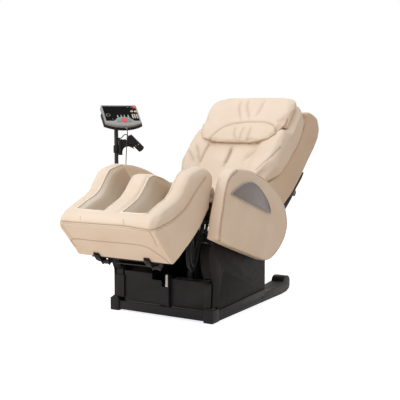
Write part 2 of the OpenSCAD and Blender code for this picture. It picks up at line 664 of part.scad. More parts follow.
shell_line = [
    [90, 110], [150, 200], [196, 287], [212, 390], [213, 450], [229, 565], [224, 635], [214, 655]];
shell_x = back_w / 2 - cover_wall - 2;
wing_x = back_w / 2 - 4;             // behind the rear edges of the outer cover
wing_line = concat([for (p = shell_line) if (p[1] < 600) p], [[227, 610]]);
function shell_wall(line) = concat(line, [for (i = [len(line) - 1:-1:0]) line[i] - [shell_t, 0]]);
module rear_shell() color("#4a4b50") back_place() {
    plate_x(-shell_x, shell_x, shell_wall(shell_line));
    both_sides() plate_x(shell_x - 1, wing_x, shell_wall(wing_line));
    box(wing_x - 12, wing_x, 209, 236, 430, 460);
    for (z = [330:12:402]) let (y = lookup(z, [for (p = shell_line) [p[1], p[0]]]))
        box(-90, 90, y - 3, y + 4, z, z + 4);
}

side_outline = [
    [60, 100], [110, 190], [165, 300], [195, 410], [207, 510], [216, 600], [218, 665],
    [228, 800], [224, 894], [196, 948], [125, 970], [72, 945], [18, 910], [-8, 872], [18, 855],
    [30, 780], [34, 700], [36, 620], [20, 550], [5, 460], [-20, 360], [-58, 257], [-60, 180],
    [-58, 110], [-40, 100]];
module cover_side() {
    x1 = back_w / 2;
    x0 = x1 - cover_wall;
    skin([for (s = [[x0, 1], [x0 + 4, 0], [x1 - 12, 0], [x1 - 4, 4], [x1, 12]])
        [for (p = inset(side_outline, s[1])) [s[0], p[0], p[1]]]]);
}
module back_cover() color(hide) back_place() {
    both_sides() cover_side();
    inner = back_w / 2 - cover_wall;
    plate_x(-inner + 0.2, inner - 0.2, [
        [-6, 868], [18, 908], [72, 943], [125, 968], [194, 946], [222, 892], [226, 800],
        [216, 668], [196, 668], [206, 800], [202, 885], [182, 928], [125, 945], [82, 924],
        [36, 892], [14, 862]]);
}

// Front pad of the back: a soft middle between two bolsters.
pad_rear = -68;
pad_rows = [30, 45, 80, 160, 260, 360, 460, 540, 600, 640, 720, 800, 835, 855, 866];
pad_cols = [0, 40, 100, 132, 150, 172, 200, 228, 244, 254, 257];
// Outward swell of the bolsters, as a share of the width, and the pad's rear along its sides,
// which keeps in front of the cover's sides.
pad_bulge = [[160, 0], [230, 0.02], [290, 0.12], [340, 0.21], [460, 0.21], [700, 0.19], [800, 0.16],
    [840, 0.1], [866, 0]];
side_rear = [[45, -8], [80, -63], [160, -63], [257, -62], [360, -24], [460, 0], [550, 13],
    [620, 28], [700, 26], [780, 22], [835, 13], [855, 2], [866, -8]];
function signed(list) = concat([for (i = [len(list) - 1:-1:1]) -list[i]], list);
function pad_depth(x, z) = lookup(z, [[30, 0.35], [45, 0.72], [80, 1], [820, 1], [835, 0.95],
        [855, 0.75], [866, 0.4]])
    * (lookup(abs(x), [[0, pad_t - 6], [40, pad_t], [100, pad_t], [132, pad_t - 8],
        [150, pad_t - 10], [172, pad_t + bolster_h * 0.5], [200, pad_t + bolster_h],
        [228, pad_t + bolster_h], [244, pad_t + bolster_h - 14], [254, pad_t - 20],
        [257, pad_t - 38]]) - lookup(z, [[590, 0], [640, 20]])
        - (abs(x) > 132 ? lookup(z, [[590, 0], [640, bolster_h]]) : 0));
function swell(x, z) = abs(x) > 210 ? 1 + lookup(z, pad_bulge) : 1;
module back_pad() color(hide) back_place() {
    cols = [for (x = signed(pad_cols)) x * pad_w / 514];
    slab([for (z = pad_rows) [for (x = cols) [
            x * swell(x, z), pad_rear - max(3, pad_depth(x * 514 / pad_w, z)), z]]],
        [for (z = pad_rows) [for (x = cols) [0.985 * x * swell(x, z),
            abs(x) > 240 ? lookup(z, side_rear) : abs(x) > 140 ? min(-8, lookup(z, side_rear))
                : pad_rear, z]]]);
}

// Head pillow: rings up the back, each a flat-backed lens.
function pillow_ring(z, w, rear, front) = concat(
    [for (a = [180:15:360]) [w * cos(a), lerp(rear, front, 0.3 + 0.7 * pow(abs(sin(a)), 0.6)), z]],
    [for (x = [0.97, 0.5, 0, -0.5, -0.97]) [w * x, rear, z]]);
module head_pillow() color(hide) back_place() {
    rear = pad_rear - pad_t + 20 - soft_gap;
    w = pillow_w / 2;
    skin([for (r = [[470, 0.35, -135, -139], [484, 0.6, -134, -145], [504, 0.76, -133, -149],
                    [556, 0.9, -133, -151], [632, 0.98, -133, -152], [650, 0.99, rear, -152],
                    [710, 1, rear, rear - pillow_t], [780, 1, rear, rear - pillow_t],
                    [830, 0.97, rear, rear - pillow_t + 4], [860, 0.9, rear, rear - pillow_t + 14],
                    [876, 0.78, rear - 4, rear - pillow_t + 26], [884, 0.6, rear - 10, rear - 18]])
        pillow_ring(r[0], w * r[1], r[2], r[3])]);
}

// --- Massage unit -------------------------------------------------------------------
unit_z = 330;
arm_y = 10;
arm_reach = [-38, 60];              // from the rocking shaft to a roller, rear and up
shaft_d = 12;
axle_d = 10;
module massage_carriage() color("#2c2e33") back_place() difference() {
    union() {
        box(-166, 166, 26, 34, unit_z - 90, unit_z + 90);
        both_sides() box(rail_gap / 2 - 16, rail_gap / 2 + 16, 24, 56, unit_z - 90, unit_z - 50);
        both_sides() box(rail_gap / 2 - 16, rail_gap / 2 + 16, 24, 56, unit_z + 50, unit_z + 90);
        box(-20, 20, 24, 56, unit_z - 22, unit_z + 22);
        both_sides() for (x = [22, 102]) box(x, x + 6, arm_y - 12, 27, unit_z - 12, unit_z + 12);
        rod_x(-108, 108, arm_y, unit_z, shaft_d);
        both_sides() rod_y(34, 84, 70, unit_z - 20, 60);
    }
    both_sides() rod_z(unit_z - 100, unit_z + 100, rail_gap / 2, guide_y, guide_d + 2 * fit);
    rod_z(unit_z - 100, unit_z + 100, 0, guide_y, screw_d + 2 * fit);
}

roller_x = arm_pair_gap / 2 + 6;
module massage_arm() color("#3a3c42") back_place() difference() {
    union() {
        rod_x(arm_pair_gap / 2 - 8, arm_pair_gap / 2 + 5, arm_y, unit_z, 28);
        for (side = [-1, 1]) {
            translate([arm_pair_gap / 2 - 4, arm_y, unit_z])
                rotate([atan2(-arm_reach[0], side * arm_reach[1]), 0, 0])
                    box(0, 8, -7, 7, 10, norm(arm_reach) - 2);
            rod_x(arm_pair_gap / 2 - 5, arm_pair_gap / 2 + 5, arm_y + arm_reach[0],
                unit_z + side * arm_reach[1], 18);
            rod_x(arm_pair_gap / 2 + 4, roller_x + roller_w + 1, arm_y + arm_reach[0],
                unit_z + side * arm_reach[1], axle_d);
        }
    }
    rod_x(0, arm_pair_gap, arm_y, unit_z, shaft_d + 2 * fit);
}
module left_massage_arm() massage_arm();
module right_massage_arm() mirror([1, 0, 0]) massage_arm();

module roller(up) color("#8d8478") back_place() difference() {
    union() {
        rod_x(roller_x, roller_x + roller_w, arm_y + arm_reach[0], unit_z + up * arm_reach[1],
            roller_d - 8);
        rod_x(roller_x + 4, roller_x + roller_w - 4, arm_y + arm_reach[0],
            unit_z + up * arm_reach[1], roller_d);
    }
    rod_x(roller_x - cut, roller_x + roller_w + cut, arm_y + arm_reach[0],
        unit_z + up * arm_reach[1], axle_d + 2 * fit);
}
module left_upper_roller() roller(1);
module left_lower_roller() roller(-1);
module right_upper_roller() mirror([1, 0, 0]) roller(1);
module right_lower_roller() mirror([1, 0, 0]) roller(-1);

// --- Calf and foot rest -------------------------------------------------------------
swing_x = 150;
swing_w = 30;
slide_gap = 0.5;
tray_v = [22, 30];
rest_len = 500;
roller_line = [-2, -28];             // u, v of the floor rollers' axis
roller_spots = [-117, 173];
roller_half = 15;

module leg_swing_frame() color(black) {
    leg_place() {
        both_sides() {
            box(swing_x - swing_w / 2, swing_x + swing_w / 2, -23, 7, -314, 4);
            rod_x(swing_x - swing_w / 2, swing_x + swing_w / 2, 0, 0, 34);
        }
        box(-swing_x, swing_x, -23, 7, -110, -85);
        rod_x(-ear_x - 14, ear_x + 14, 0, 0, leg_axle_d);
    }
    seat_place() lever(leg_act_x, leg_hinge, leg_pin);
}

// Underside of the rest's side walls: v against u.
under = [
    [0, 0], [57, -16], [132, -28], [200, -37], [265, -43], [381, -33], [400, -10], [440, 20],
    [474, 33], [rest_len, 60]];
module leg_tray() color(black) leg_rest_place() difference() {
    union() {
        box(-196, 196, -tray_v[1], -tray_v[0], 90, 440);
        box(-196, 196, -tray_v[1], 8, 90, 95);
        box(-196, 196, 2, 8, 3, 95);
        // runners that wrap the swing frame's rails
        both_sides() {
            for (side = [-1, 1]) translate([swing_x + side * (swing_w / 2 + slide_gap + 2.5), 0, 0])
                box(-2.5, 2.5, -tray_v[0] - 1, 15, 100, 300);
            box(swing_x - swing_w / 2 - slide_gap - 5, swing_x + swing_w / 2 + slide_gap + 5,
                10.5, 15, 100, 300);
            // pans under the side walls
            plate_x(190, 196, [for (p = concat([[95, tray_v[1]], [381, tray_v[1]]],
                [for (i = [5:-1:2]) under[i] - [0, 5]], [[95, -24]])) [-p[1], p[0]]]);
            plate_x(190, 262, [for (p = concat([for (i = [1:5]) under[i] - [0, 1]],
                [for (i = [5:-1:1]) under[i] - [0, 5]])) [-p[1], p[0]]]);
        }
        // hose ports
        for (x = hose_x) rod_y(44, 62, x, 240, 13);
        // roller brackets
        for (x = roller_spots) {
            box(x - 46, x - roller_half - 1, -34, 26, -7, -1);
            box(x - 46, x - roller_half - 1, 8, 20, -7, 20);
            for (side = [-1, 1]) box(x + side * (roller_half + 4) - 3, x + side * (roller_half + 4) + 3,
                8, -roller_line[1] + 9, -14, 20);
        }
    }
    for (x = roller_spots) rod_z(-8, 0, x - 27, -12, 10);
    rod_x(-side_x, side_x, -roller_line[1], roller_line[0], 6 + 2 * fit);
}

module floor_rollers() color("#333") leg_rest_place() {
    rod_x(roller_spots[0] - 24, roller_spots[1] + 24, -roller_line[1], roller_line[0], 6);
    for (x = roller_spots)
        rod_x(x - roller_half, x + roller_half, -roller_line[1], roller_line[0], floor_roller_d);
}

// Cover of the rest: a slab between its upper surface and its underside.
wall_crest = [
    [0, 228], [8, 243], [28, 253], [52, 256], [80, 250], [130, 234], [180, 214], [220, 196],
    [271, 188], [330, 197], [377, 202], [405, 194], [442, 172], [474, 152], [488, 140], [500, 122]];
divider_crest = [
    [88, 246], [130, 230], [180, 211], [220, 198], [271, 194], [330, 200], [361, 199], [390, 180],
    [420, 142], [442, 106], [460, 60], [474, 40]];
rows_wing = [0, 8, 28, 52, 80, 88, 130, 180, 220, 271, 330, 377, 405, 442, 474, 488, rest_len];
rows_mid = [0, 8, 28, 52, 80, 88, 130, 180, 220, 271, 330, 361, 390, 420, 442, 460, 474];
floor_v = 37;
wall_in = divider_w / 2 + 10 + trough_w - 8;    // foot of a side wall inside its trough
toe_end = toe_wall;
function rest_cols() = let (a = divider_w / 2) signed([
    0, a - 22, a - 4, a + 8, a + 14, a + 14 + (trough_w - 14) / 2, wall_in, wall_in + 6, 199, 205,
    228, 252, 270, 284]);
function rest_half(u) = lerp(leg_w_toe, leg_w_knee, min(u, 480) / 480) / 2;
function col_x(x, u) = abs(x) < 206 ? x
    : sign(x) * lerp(205, rest_half(u), (abs(x) - 205) / 79);
function row_u(j, x) = let (u = abs(x) < 203 ? rows_mid[j] : rows_wing[j])
    j == 4 ? toe_end - 4 : j == 5 ? toe_end + 4 : u;
function rest_top(x, j) = let (a = abs(x), u = row_u(j, x), w = lookup(u, wall_crest))
    j <= 4 ? w - (a > 260 ? lookup(a, [[260, 4], [284, 26]]) : 0)
    : a <= divider_w / 2 + 9 ? max(floor_v, lookup(u, divider_crest)
        - lookup(a, [[divider_w / 2 - 22, 2], [divider_w / 2 - 4, 18], [divider_w / 2 + 8, 70]]))
    : a < wall_in + 1 ? floor_v
    : a < 203 ? max(floor_v, w - (a < wall_in + 8 ? 26 : 9))
    : w - lookup(a, [[205, 6], [228, 0], [252, 3], [270, 12], [284, 40]]);
function rest_under(x, j) = let (u = row_u(j, x))
    abs(x) > 203 ? lookup(u, under) : j <= 4 ? 0 : 31;
module leg_cover() color(hide) leg_rest_place() {
    cols = rest_cols();
    rows = [0:len(rows_wing) - 1];
    slab([for (j = rows) [for (x = cols) [col_x(x, row_u(j, x)), -rest_top(x, j), row_u(j, x)]]],
        [for (j = rows) [for (x = cols) [col_x(x, row_u(j, x)), -rest_under(x, j), row_u(j, x)]]]);
}

module trough_linings() color(lining) leg_rest_place() both_sides() {
    x0 = divider_w / 2 + 17;
    x1 = wall_in - 3;
    skin([for (r = [[toe_end + 8, 0.7, 3], [toe_end + 20, 0.95, 8], [150, 1, 11], [220, 0.96, 8],
                    [290, 1, 11], [360, 1, 12], [410, 0.95, 9], [430, 0.75, 3]])
        [for (p = [[1, 0], [0.98, 0.7], [0.75, 1], [0.3, 0.85], [-0.3, 0.85], [-0.75, 1],
                   [-0.98, 0.7], [-1, 0], [-0.5, 0], [0, 0], [0.5, 0]])
            [(x0 + x1) / 2 + p[0] * r[1] * (x1 - x0) / 2, -floor_v - 0.4 - p[1] * r[2], r[0]]]]);
}

// --- Control stand ------------------------------------------------------------------
foot_z = socket_z + 10;
lead_gland = [18, 0, 662];           // in the grip's plane
sensor_gland = [20, 0, post_top - 49];
module stand_post() color(black) {
    stand_place() {
        rod_z(foot_z, post_top, 0, 0, post_d);
        difference() {
            union() {
                box(-8, 8, -post_d / 2 + 1, post_d / 2 - 1, post_top - 2, post_top + knuckle_rise);
                rod_x(-8, 8, 0, post_top + knuckle_rise, 26);
            }
            rod_x(-10, 10, 0, post_top + knuckle_rise, 8 + 2 * fit);
        }
    }
    grip_place() {
        rod_x(0, lead_gland[0], lead_gland[1], lead_gland[2], 9);
        rod_x(0, sensor_gland[0], sensor_gland[1], sensor_gland[2], 8);
    }
}

grip_z = post_top - 75;               // middle of the sensor grip
grip_at = [104, -8, grip_z];
grip_size = [106, 36, 36];
module grip_axis() grip_place() translate(grip_at) rotate([0, 45, 0]) children();
module sensor_holder() color(black) difference() {
    union() {
        grip_place() {
            rod_z(grip_z - 52, grip_z - 12, 0, 0, post_d + 10);
            rod_z(grip_z - 64, grip_z + 22, 23, -8, 22);
            translate([0, -3, grip_z]) rotate([90, 0, 0]) linear_extrude(10) polygon([
                [23, 18], [50, 22], [58, 16], [74, -3], [92, -22], [100, -34], [84, -24], [68, -18],
                [52, -20], [40, -29], [34, -44], [32, -60], [23, -60]]);
        }
        grip_axis() {
            box(-44, 8, -21, 21, -grip_size[2] / 2 - 5.5, -grip_size[2] / 2 - 0.5);
            for (side = [-1, 1]) box(-44, 8, side * 19.9 - 1.4, side * 19.9 + 1.4,
                -grip_size[2] / 2 - 1, 0);
        }
    }
    grip_place() rod_z(grip_z - 58, grip_z + 42, 0, 0, post_d);
}
module sensor_grip() color("#1a1a1c") grip_axis() {
    l = grip_size[0];
    t = grip_size[2];
    translate([0, 0, 0]) rotate([0, 90, 0]) linear_extrude(l - 8, center = true) {
        square([t - 12, grip_size[1]], center = true);
        square([t, grip_size[1] - 12], center = true);
        for (sx = [-1, 1], sy = [-1, 1])
            translate([sx * (t / 2 - 6), sy * (grip_size[1] / 2 - 6)]) circle(6);
    }
    for (side = [-1, 1]) box(side * (l / 2 - 2) - 2, side * (l / 2 - 2) + 2, -12, 12, -11, 11);
}

pocket = 6;
key_up = 2;
key_gap = 0.3;
panel_hi = 59;                       // top edge over the origin of the panel
panel_lo = panel_hi - panel_h;       // lowest point of its curved lower edge
panel_r = 205;                       // radius of that edge
panel_corner = 9;
keys = [                             // x, z, width, height on the panel's face
    ["power_key", 8, -61, 28, 30], ["stop_key", 85, 43, 18, 17], ["left_green_key", -20, -62, 17, 24],
    ["right_green_key", 37, -62, 17, 24], ["white_key", 64, 8, 15, 11],
    ["orange_key", 85, 8, 15, 13], ["left_rocker_key", 61, -30, 7, 34],
    ["middle_rocker_key", 73, -30, 7, 34], ["right_rocker_key", 85, -30, 7, 34]];
// Outline of the panel grown by g, cut off at a height.
function edge_z(x, g) = panel_lo + panel_r - sqrt(pow(panel_r + g, 2) - x * x);
function panel_line(g, high, r) = let (w = panel_w / 2 + g) concat(
    [for (a = [180:-15:90]) [-w + r + r * cos(a), high - r + r * sin(a)]],
    [for (a = [90:-15:0]) [w - r + r * cos(a), high - r + r * sin(a)]],
    [for (k = [0:14]) let (x = w * (1 - k / 7)) [x, edge_z(x, g)]]);
module panel_slab(y0, y1, g, high, r)
    translate([0, y1, 0]) rotate([90, 0, 0]) linear_extrude(y1 - y0) polygon(panel_line(g, high, r));
// The dark face, which leaves an arch for the main keys.
glass_t = 1.5;
glass_rim = 7;
arch = [8, 58, 28];                  // middle, half width and rise of the arch
glass_lo = -66;
module glass_line() let (w = panel_w / 2 - glass_rim, high = panel_hi - glass_rim) polygon(concat(
    [[-w, glass_lo], [-w, high], [w, high], [w, glass_lo]],
    [for (k = [10:-1:0]) let (t = k / 5 - 1, rise = min(1, 2 - 2 * abs(t)))
        [arch[0] + t * arch[1], glass_lo + arch[2] * rise * rise * (3 - 2 * rise)]]));
module key_holes(y0, y1) for (k = keys) box(k[1] - k[3] / 2 - key_gap, k[1] + k[3] / 2 + key_gap,
    y0, y1, k[2] - k[4] / 2 - key_gap, k[2] + k[4] / 2 + key_gap);
module control_panel() color("#8f9193") panel_place() difference() {
    union() {
        panel_slab(0, panel_t, 0, panel_hi, panel_corner);
        rod_z(panel_lo - 11, panel_lo + 4, 10, panel_t / 2, 9);
    }
    key_holes(-cut, pocket);
    translate([0, glass_t, 0]) rotate([90, 0, 0]) linear_extrude(glass_t + cut) glass_line();
}
module panel_glass() color("#101014") panel_place() difference() {
    translate([0, glass_t, 0]) rotate([90, 0, 0]) linear_extrude(glass_t) glass_line();
    key_holes(-cut, glass_t + cut);
}
module key(i, tint) color(tint) panel_place()
    round_plate(keys[i][3], keys[i][4], 2, -key_up, 3.5, keys[i][1], keys[i][2]);
module power_key() key(0, "#c8414b");
module stop_key() key(1, "#b5202c");
module left_green_key() key(2, "#4e8f7d");
module right_green_key() key(3, "#4e8f7d");
module white_key() key(4, "#d8d6cf");
module orange_key() key(5, "#e0a93c");
module left_rocker_key() key(6, "#d8d6cf");
module middle_rocker_key() key(7, "#d8d6cf");
module right_rocker_key() key(8, "#d8d6cf");

module panel_cradle() color(black) panel_place() difference() {
    gap = 0.3;
    wall = 6;
    back = panel_t + gap;
    union() {
        panel_slab(panel_t - 9, back + 4, gap + wall, 8, 6);
        translate([-panel_offset[0], -panel_offset[1], -panel_offset[2]]) {
            for (side = [-1, 1]) {
                box(side * 11.5 - 3, side * 11.5 + 3, back + 1 + panel_offset[1], 0, -10, 10);
                rod_x(side * 11.5 - 3, side * 11.5 + 3, 0, 0, 20);
            }
            rod_x(-14, 14, 0, 0, 8);
        }
    }
    panel_slab(-cut, back, gap, panel_hi, panel_corner);
    box(panel_w / 2 - 20, panel_w / 2 + 20, 0, back + 9, -48, 18);
    rod_z(panel_lo - 20, panel_lo + cut, 10, panel_t / 2, 13);
}

// Cords, as chosen points.
panel_lead_route = [
    [-334.64, -258.78, 935.73], [-330, -262.3, 930.5], [-327.5, -263.5, 923], [-329, -261, 912],
    [-336, -254, 896], [-345, -244, 872], [-356, -232, 845], [-368, -218, 818], [-381, -203, 785],
    [-393, -189, 752], [-400, -182, 720], [-404, -192, 688], [-406, -206, 669], [-408, -217, 663],
    [-410, -223, 662]];
module panel_lead() color("#3a3a3c") tube(panel_lead_route, 5, 3, 8);
sensor_lead_route = [
    [20, 0, 884], [27, 0, 886], [36, -2, 896], [46, -5, 904], [58, -8, 904], [66.3, -8, 895.7]];
module sensor_lead() color("#1a1a1c") grip_place() tube(sensor_lead_route, 5, 3, 8);

floor_frame();
skids();
front_cover();
side_panels();
rear_cover();
corner_feet();
power_unit();
power_switch();
air_pump();
cover_screws();
stand_bracket();
seat_frame();
seat_cushion();
knee_roll();
left_armrest();
right_armrest();
arm_inserts();
leg_hoses();
tilt_actuator();
tilt_rod();
back_actuator();
back_rod();
leg_actuator();
leg_rod();
back_frame();
rear_shell();
back_cover();
back_pad();
head_pillow();
lift_motor();
lift_screw();
massage_carriage();
left_massage_arm();
right_massage_arm();
left_upper_roller();
left_lower_roller();
right_upper_roller();
right_lower_roller();
leg_swing_frame();
leg_tray();
leg_cover();
trough_linings();
floor_rollers();
stand_post();
sensor_holder();
sensor_grip();
panel_cradle();
control_panel();
panel_glass();
power_key();
stop_key();
left_green_key();
right_green_key();
white_key();
orange_key();
left_rocker_key();
middle_rocker_key();
right_rocker_key();
panel_lead();
sensor_lead();
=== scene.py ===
"""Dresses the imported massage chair: upholstery, moulded covers, steelwork, cords and studio."""

import logging
import math
from dataclasses import dataclass, field
from enum import Enum
from typing import Callable, Iterable, Sequence

import bmesh
import bpy
import numpy as np
from mathutils import Matrix, Vector
from mathutils.bvhtree import BVHTree

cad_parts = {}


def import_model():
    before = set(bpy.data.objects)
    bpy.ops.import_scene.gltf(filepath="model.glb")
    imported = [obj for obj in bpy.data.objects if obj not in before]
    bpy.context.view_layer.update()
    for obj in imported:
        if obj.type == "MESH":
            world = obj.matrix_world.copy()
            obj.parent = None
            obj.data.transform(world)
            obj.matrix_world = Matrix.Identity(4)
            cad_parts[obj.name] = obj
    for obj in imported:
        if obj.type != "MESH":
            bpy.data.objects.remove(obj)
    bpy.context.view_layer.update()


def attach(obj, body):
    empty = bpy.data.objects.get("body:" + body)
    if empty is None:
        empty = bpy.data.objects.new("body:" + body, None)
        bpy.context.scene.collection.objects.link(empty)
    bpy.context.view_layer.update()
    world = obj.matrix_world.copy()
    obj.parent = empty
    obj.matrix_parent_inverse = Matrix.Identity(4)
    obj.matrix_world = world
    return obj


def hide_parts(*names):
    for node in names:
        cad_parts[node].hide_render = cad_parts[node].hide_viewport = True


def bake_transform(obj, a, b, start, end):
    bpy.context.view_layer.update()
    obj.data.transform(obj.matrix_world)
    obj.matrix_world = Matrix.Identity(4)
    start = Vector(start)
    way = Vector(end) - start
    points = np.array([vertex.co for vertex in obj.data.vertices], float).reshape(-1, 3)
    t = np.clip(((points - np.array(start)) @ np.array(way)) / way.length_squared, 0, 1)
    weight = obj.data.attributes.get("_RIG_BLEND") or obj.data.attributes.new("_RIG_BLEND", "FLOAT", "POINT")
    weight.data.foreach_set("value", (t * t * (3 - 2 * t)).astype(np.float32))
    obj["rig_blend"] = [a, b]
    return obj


log = logging.getLogger("massage_chair")
Point = tuple[float, float, float]
Flat = tuple[float, float]
MM = 0.001
FILL_FRAMES = 18  # frames that a cover takes to fill
LINE_STEP = 0.006  # metres between the points of a seam
MERGE = 2e-5  # metres between vertices that are one
HARD_ANGLE = 40.0  # degrees under which a moulding's edges are shaded smooth
ROUND_ANGLE = 35.0  # degrees over which a moulding's edges are rounded
FLAT_ANGLE = 2.0  # degrees under which neighbouring faces are one
LOOKS_UP = 0.9  # least Z of the normal of a face that looks up
FINE_EDGE = 0.0015  # metres of rounding on a thin moulding
FACING = Matrix.Rotation(math.radians(90), 4, "X")  # turns what faces up towards -Y


# --- Frames -------------------------------------------------------------------------------
class Frame(Enum):
    """The chair's working frames: origin in millimetres and turns about X, Y and Z in degrees."""

    SEAT = ((0.0, 20.0, 235.0), (-19.0, 0.0, 0.0))
    BACK = ((0.0, 49.975, 420.340), (-47.0, 0.0, 0.0))
    REST = ((0.0, -749.578, 335.382), (-48.0, 0.0, 0.0))
    PANEL = ((-403.79, -219.19, 1023.04), (-48.0, 0.0, 53.0))
    GRIP = ((-331.73, -185.29, 858.0), (0.0, 45.0, 31.0))
    ROW = ((0.0, 0.0, 0.0), (0.0, 0.0, 0.0))

    @property
    def matrix(self) -> Matrix:
        """The frame's place and turn.

        Returns:
            Its matrix, in millimetres.
        """
        origin, turns = self.value
        x, y, z = (Matrix.Rotation(math.radians(turn), 4, axis) for turn, axis in zip(turns, "XYZ"))
        return Matrix.Translation(origin) @ z @ y @ x

    def world(self, x: float, y: float, z: float) -> Vector:
        """Turns a point of this frame into metres in the row frame.

        Args:
            x: Millimetres along this frame's X.
            y: Millimetres along this frame's Y.
            z: Millimetres along this frame's Z.

        Returns:
            The point in metres.
        """
        return (self.matrix @ Vector((x, y, z))) * MM

    @property
    def metres(self) -> Matrix:
        """The frame's place and turn.

        Returns:
            Its matrix, in metres.
        """
        place = self.matrix
        place.translation *= MM
        return place

    def local(self, points: np.ndarray) -> np.ndarray:
        """Turns row-frame points in metres into this frame's millimetres.

        Args:
            points: Array of points, one per row.

        Returns:
            Array of the same shape in this frame.
        """
        back = np.array(self.matrix.inverted())
        return points / MM @ back[:3, :3].T + back[:3, 3]


def tone(red: int, green: int, blue: int) -> tuple[float, float, float, float]:
    """Linear colour of an 8-bit tone.

    Args:
        red: Red, 0 to 255.
        green: Green, 0 to 255.
        blue: Blue, 0 to 255.

    Returns:
        Red, green, blue and alpha for a shader socket.
    """
    def line(value: int) -> float:
        """Removes the display curve from one channel."""
        v = value / 255
        return v / 12.92 if v <= 0.04045 else ((v + 0.055) / 1.055) ** 2.4

    return (line(red), line(green), line(blue), 1.0)


# --- Shader graph -------------------------------------------------------------------------
@dataclass
class Channel:
    """A shader socket that takes part in Python arithmetic."""

    graph: "Graph"
    socket: bpy.types.NodeSocket | None

    def _math(self, operation: str, first: object, second: object) -> "Channel":
        """Adds a Math node.

        Args:
            operation: The node's operation.
            first: Left value or channel.
            second: Right value or channel.

        Returns:
            The node's result.
        """
        return self.graph.add("ShaderNodeMath", {"operation": operation}, {0: first, 1: second})

    def __add__(self, other: object) -> "Channel":
        """Sum."""
        return self._math("ADD", self, other)

    __radd__ = __add__

    def __sub__(self, other: object) -> "Channel":
        """Difference."""
        return self._math("SUBTRACT", self, other)

    def __rsub__(self, other: object) -> "Channel":
        """Reflected difference."""
        return self._math("SUBTRACT", other, self)

    def __mul__(self, other: object) -> "Channel":
        """Product."""
        return self._math("MULTIPLY", self, other)

    __rmul__ = __mul__

    def between(self, low: float, high: float) -> "Channel":
        """Smooth step from 0 at low to 1 at high."""
        return self.graph.add("ShaderNodeMapRange", {"interpolation_type": "SMOOTHSTEP"},
                              {"Value": self, "From Min": low, "From Max": high})


class Graph:
    """The node tree of a material or of the world, built in Python."""

    def __init__(self, owner: bpy.types.Material | bpy.types.World) -> None:
        """Empties the tree of its owner.

        Args:
            owner: A new material or world.
        """
        owner.use_nodes = True
        self.owner = owner
        self.tree = owner.node_tree
        self.tree.nodes.clear()

    def add(self, kind: str, settings: dict | None = None, sockets: dict | None = None,
            out: int | str = 0) -> Channel:
        """Adds one node.

        Args:
            kind: The node's type.
            settings: Its properties, which are set first.
            sockets: Values or channels for its inputs.
            out: The output that is handed back.

        Returns:
            That output as a channel; it is empty on a node that ends the tree.
        """
        node = self.tree.nodes.new(kind)
        for key, value in (settings or {}).items():
            setattr(node, key, value)
        for key, value in (sockets or {}).items():
            if isinstance(value, Channel):
                self.tree.links.new(value.socket, node.inputs[key])
            else:
                node.inputs[key].default_value = value
        return Channel(self, node.outputs[out] if len(node.outputs) else None)

    def place(self) -> Channel:
        """Object coordinates."""
        return self.add("ShaderNodeTexCoord", out="Object")

    def noise(self, scale: float, detail: float = 3.0) -> Channel:
        """Noise on Object coordinates, with a scale in turns per metre."""
        return self.add("ShaderNodeTexNoise", None,
                        {"Vector": self.place(), "Scale": scale, "Detail": detail, "Roughness": 0.55})

    def mix(self, factor: object, first: object, second: object) -> Channel:
        """Mixes two colours."""
        return self.add("ShaderNodeMix", {"data_type": "RGBA"}, {0: factor, 6: first, 7: second}, 2)

    def mark(self, name: str) -> Channel:
        """A number that the piece's own mesh carries."""
        return self.add("ShaderNodeAttribute", {"attribute_name": name}, out="Fac")

    def seen(self) -> Channel:
        """Tells the rays that see a surface from those that light the chair.

        Returns:
            1 on camera, glossy and transmission rays, 0 on the others.
        """
        camera, glossy, through = (self.add("ShaderNodeLightPath", out=f"Is {kind} Ray")
                                   for kind in ("Camera", "Glossy", "Transmission"))
        return (camera + glossy + through).between(0.0, 1.0)

    def bump(self, height: object, distance: float, strength: float = 1.0,
             normal: Channel | None = None) -> Channel:
        """A bump that tilts the surface's normal.

        Args:
            height: The pattern's height, from 0 to 1.
            distance: What a height of 1 stands for, in metres.
            strength: How much of the bump shows.
            normal: Another bump that this one lies on.

        Returns:
            The tilted normal.
        """
        links = {"Height": height, "Distance": distance, "Strength": strength}
        if normal is not None:
            links["Normal"] = normal
        return self.add("ShaderNodeBump", None, links)

    def surface(self, **sockets: object) -> bpy.types.Material:
        """Closes the tree with a Principled shader.

        Args:
            **sockets: Its inputs, with underscores for spaces.

        Returns:
            The finished material.
        """
        links = {key.replace("_", " "): value for key, value in sockets.items()}
        return self.close("ShaderNodeOutputMaterial", self.add("ShaderNodeBsdfPrincipled", None, links))

    def close(self, kind: str, shader: Channel) -> bpy.types.Material | bpy.types.World:
        """Links a shader to an output node of that kind and hands the tree's owner back."""
        self.add(kind, None, {"Surface": shader})
        return self.owner


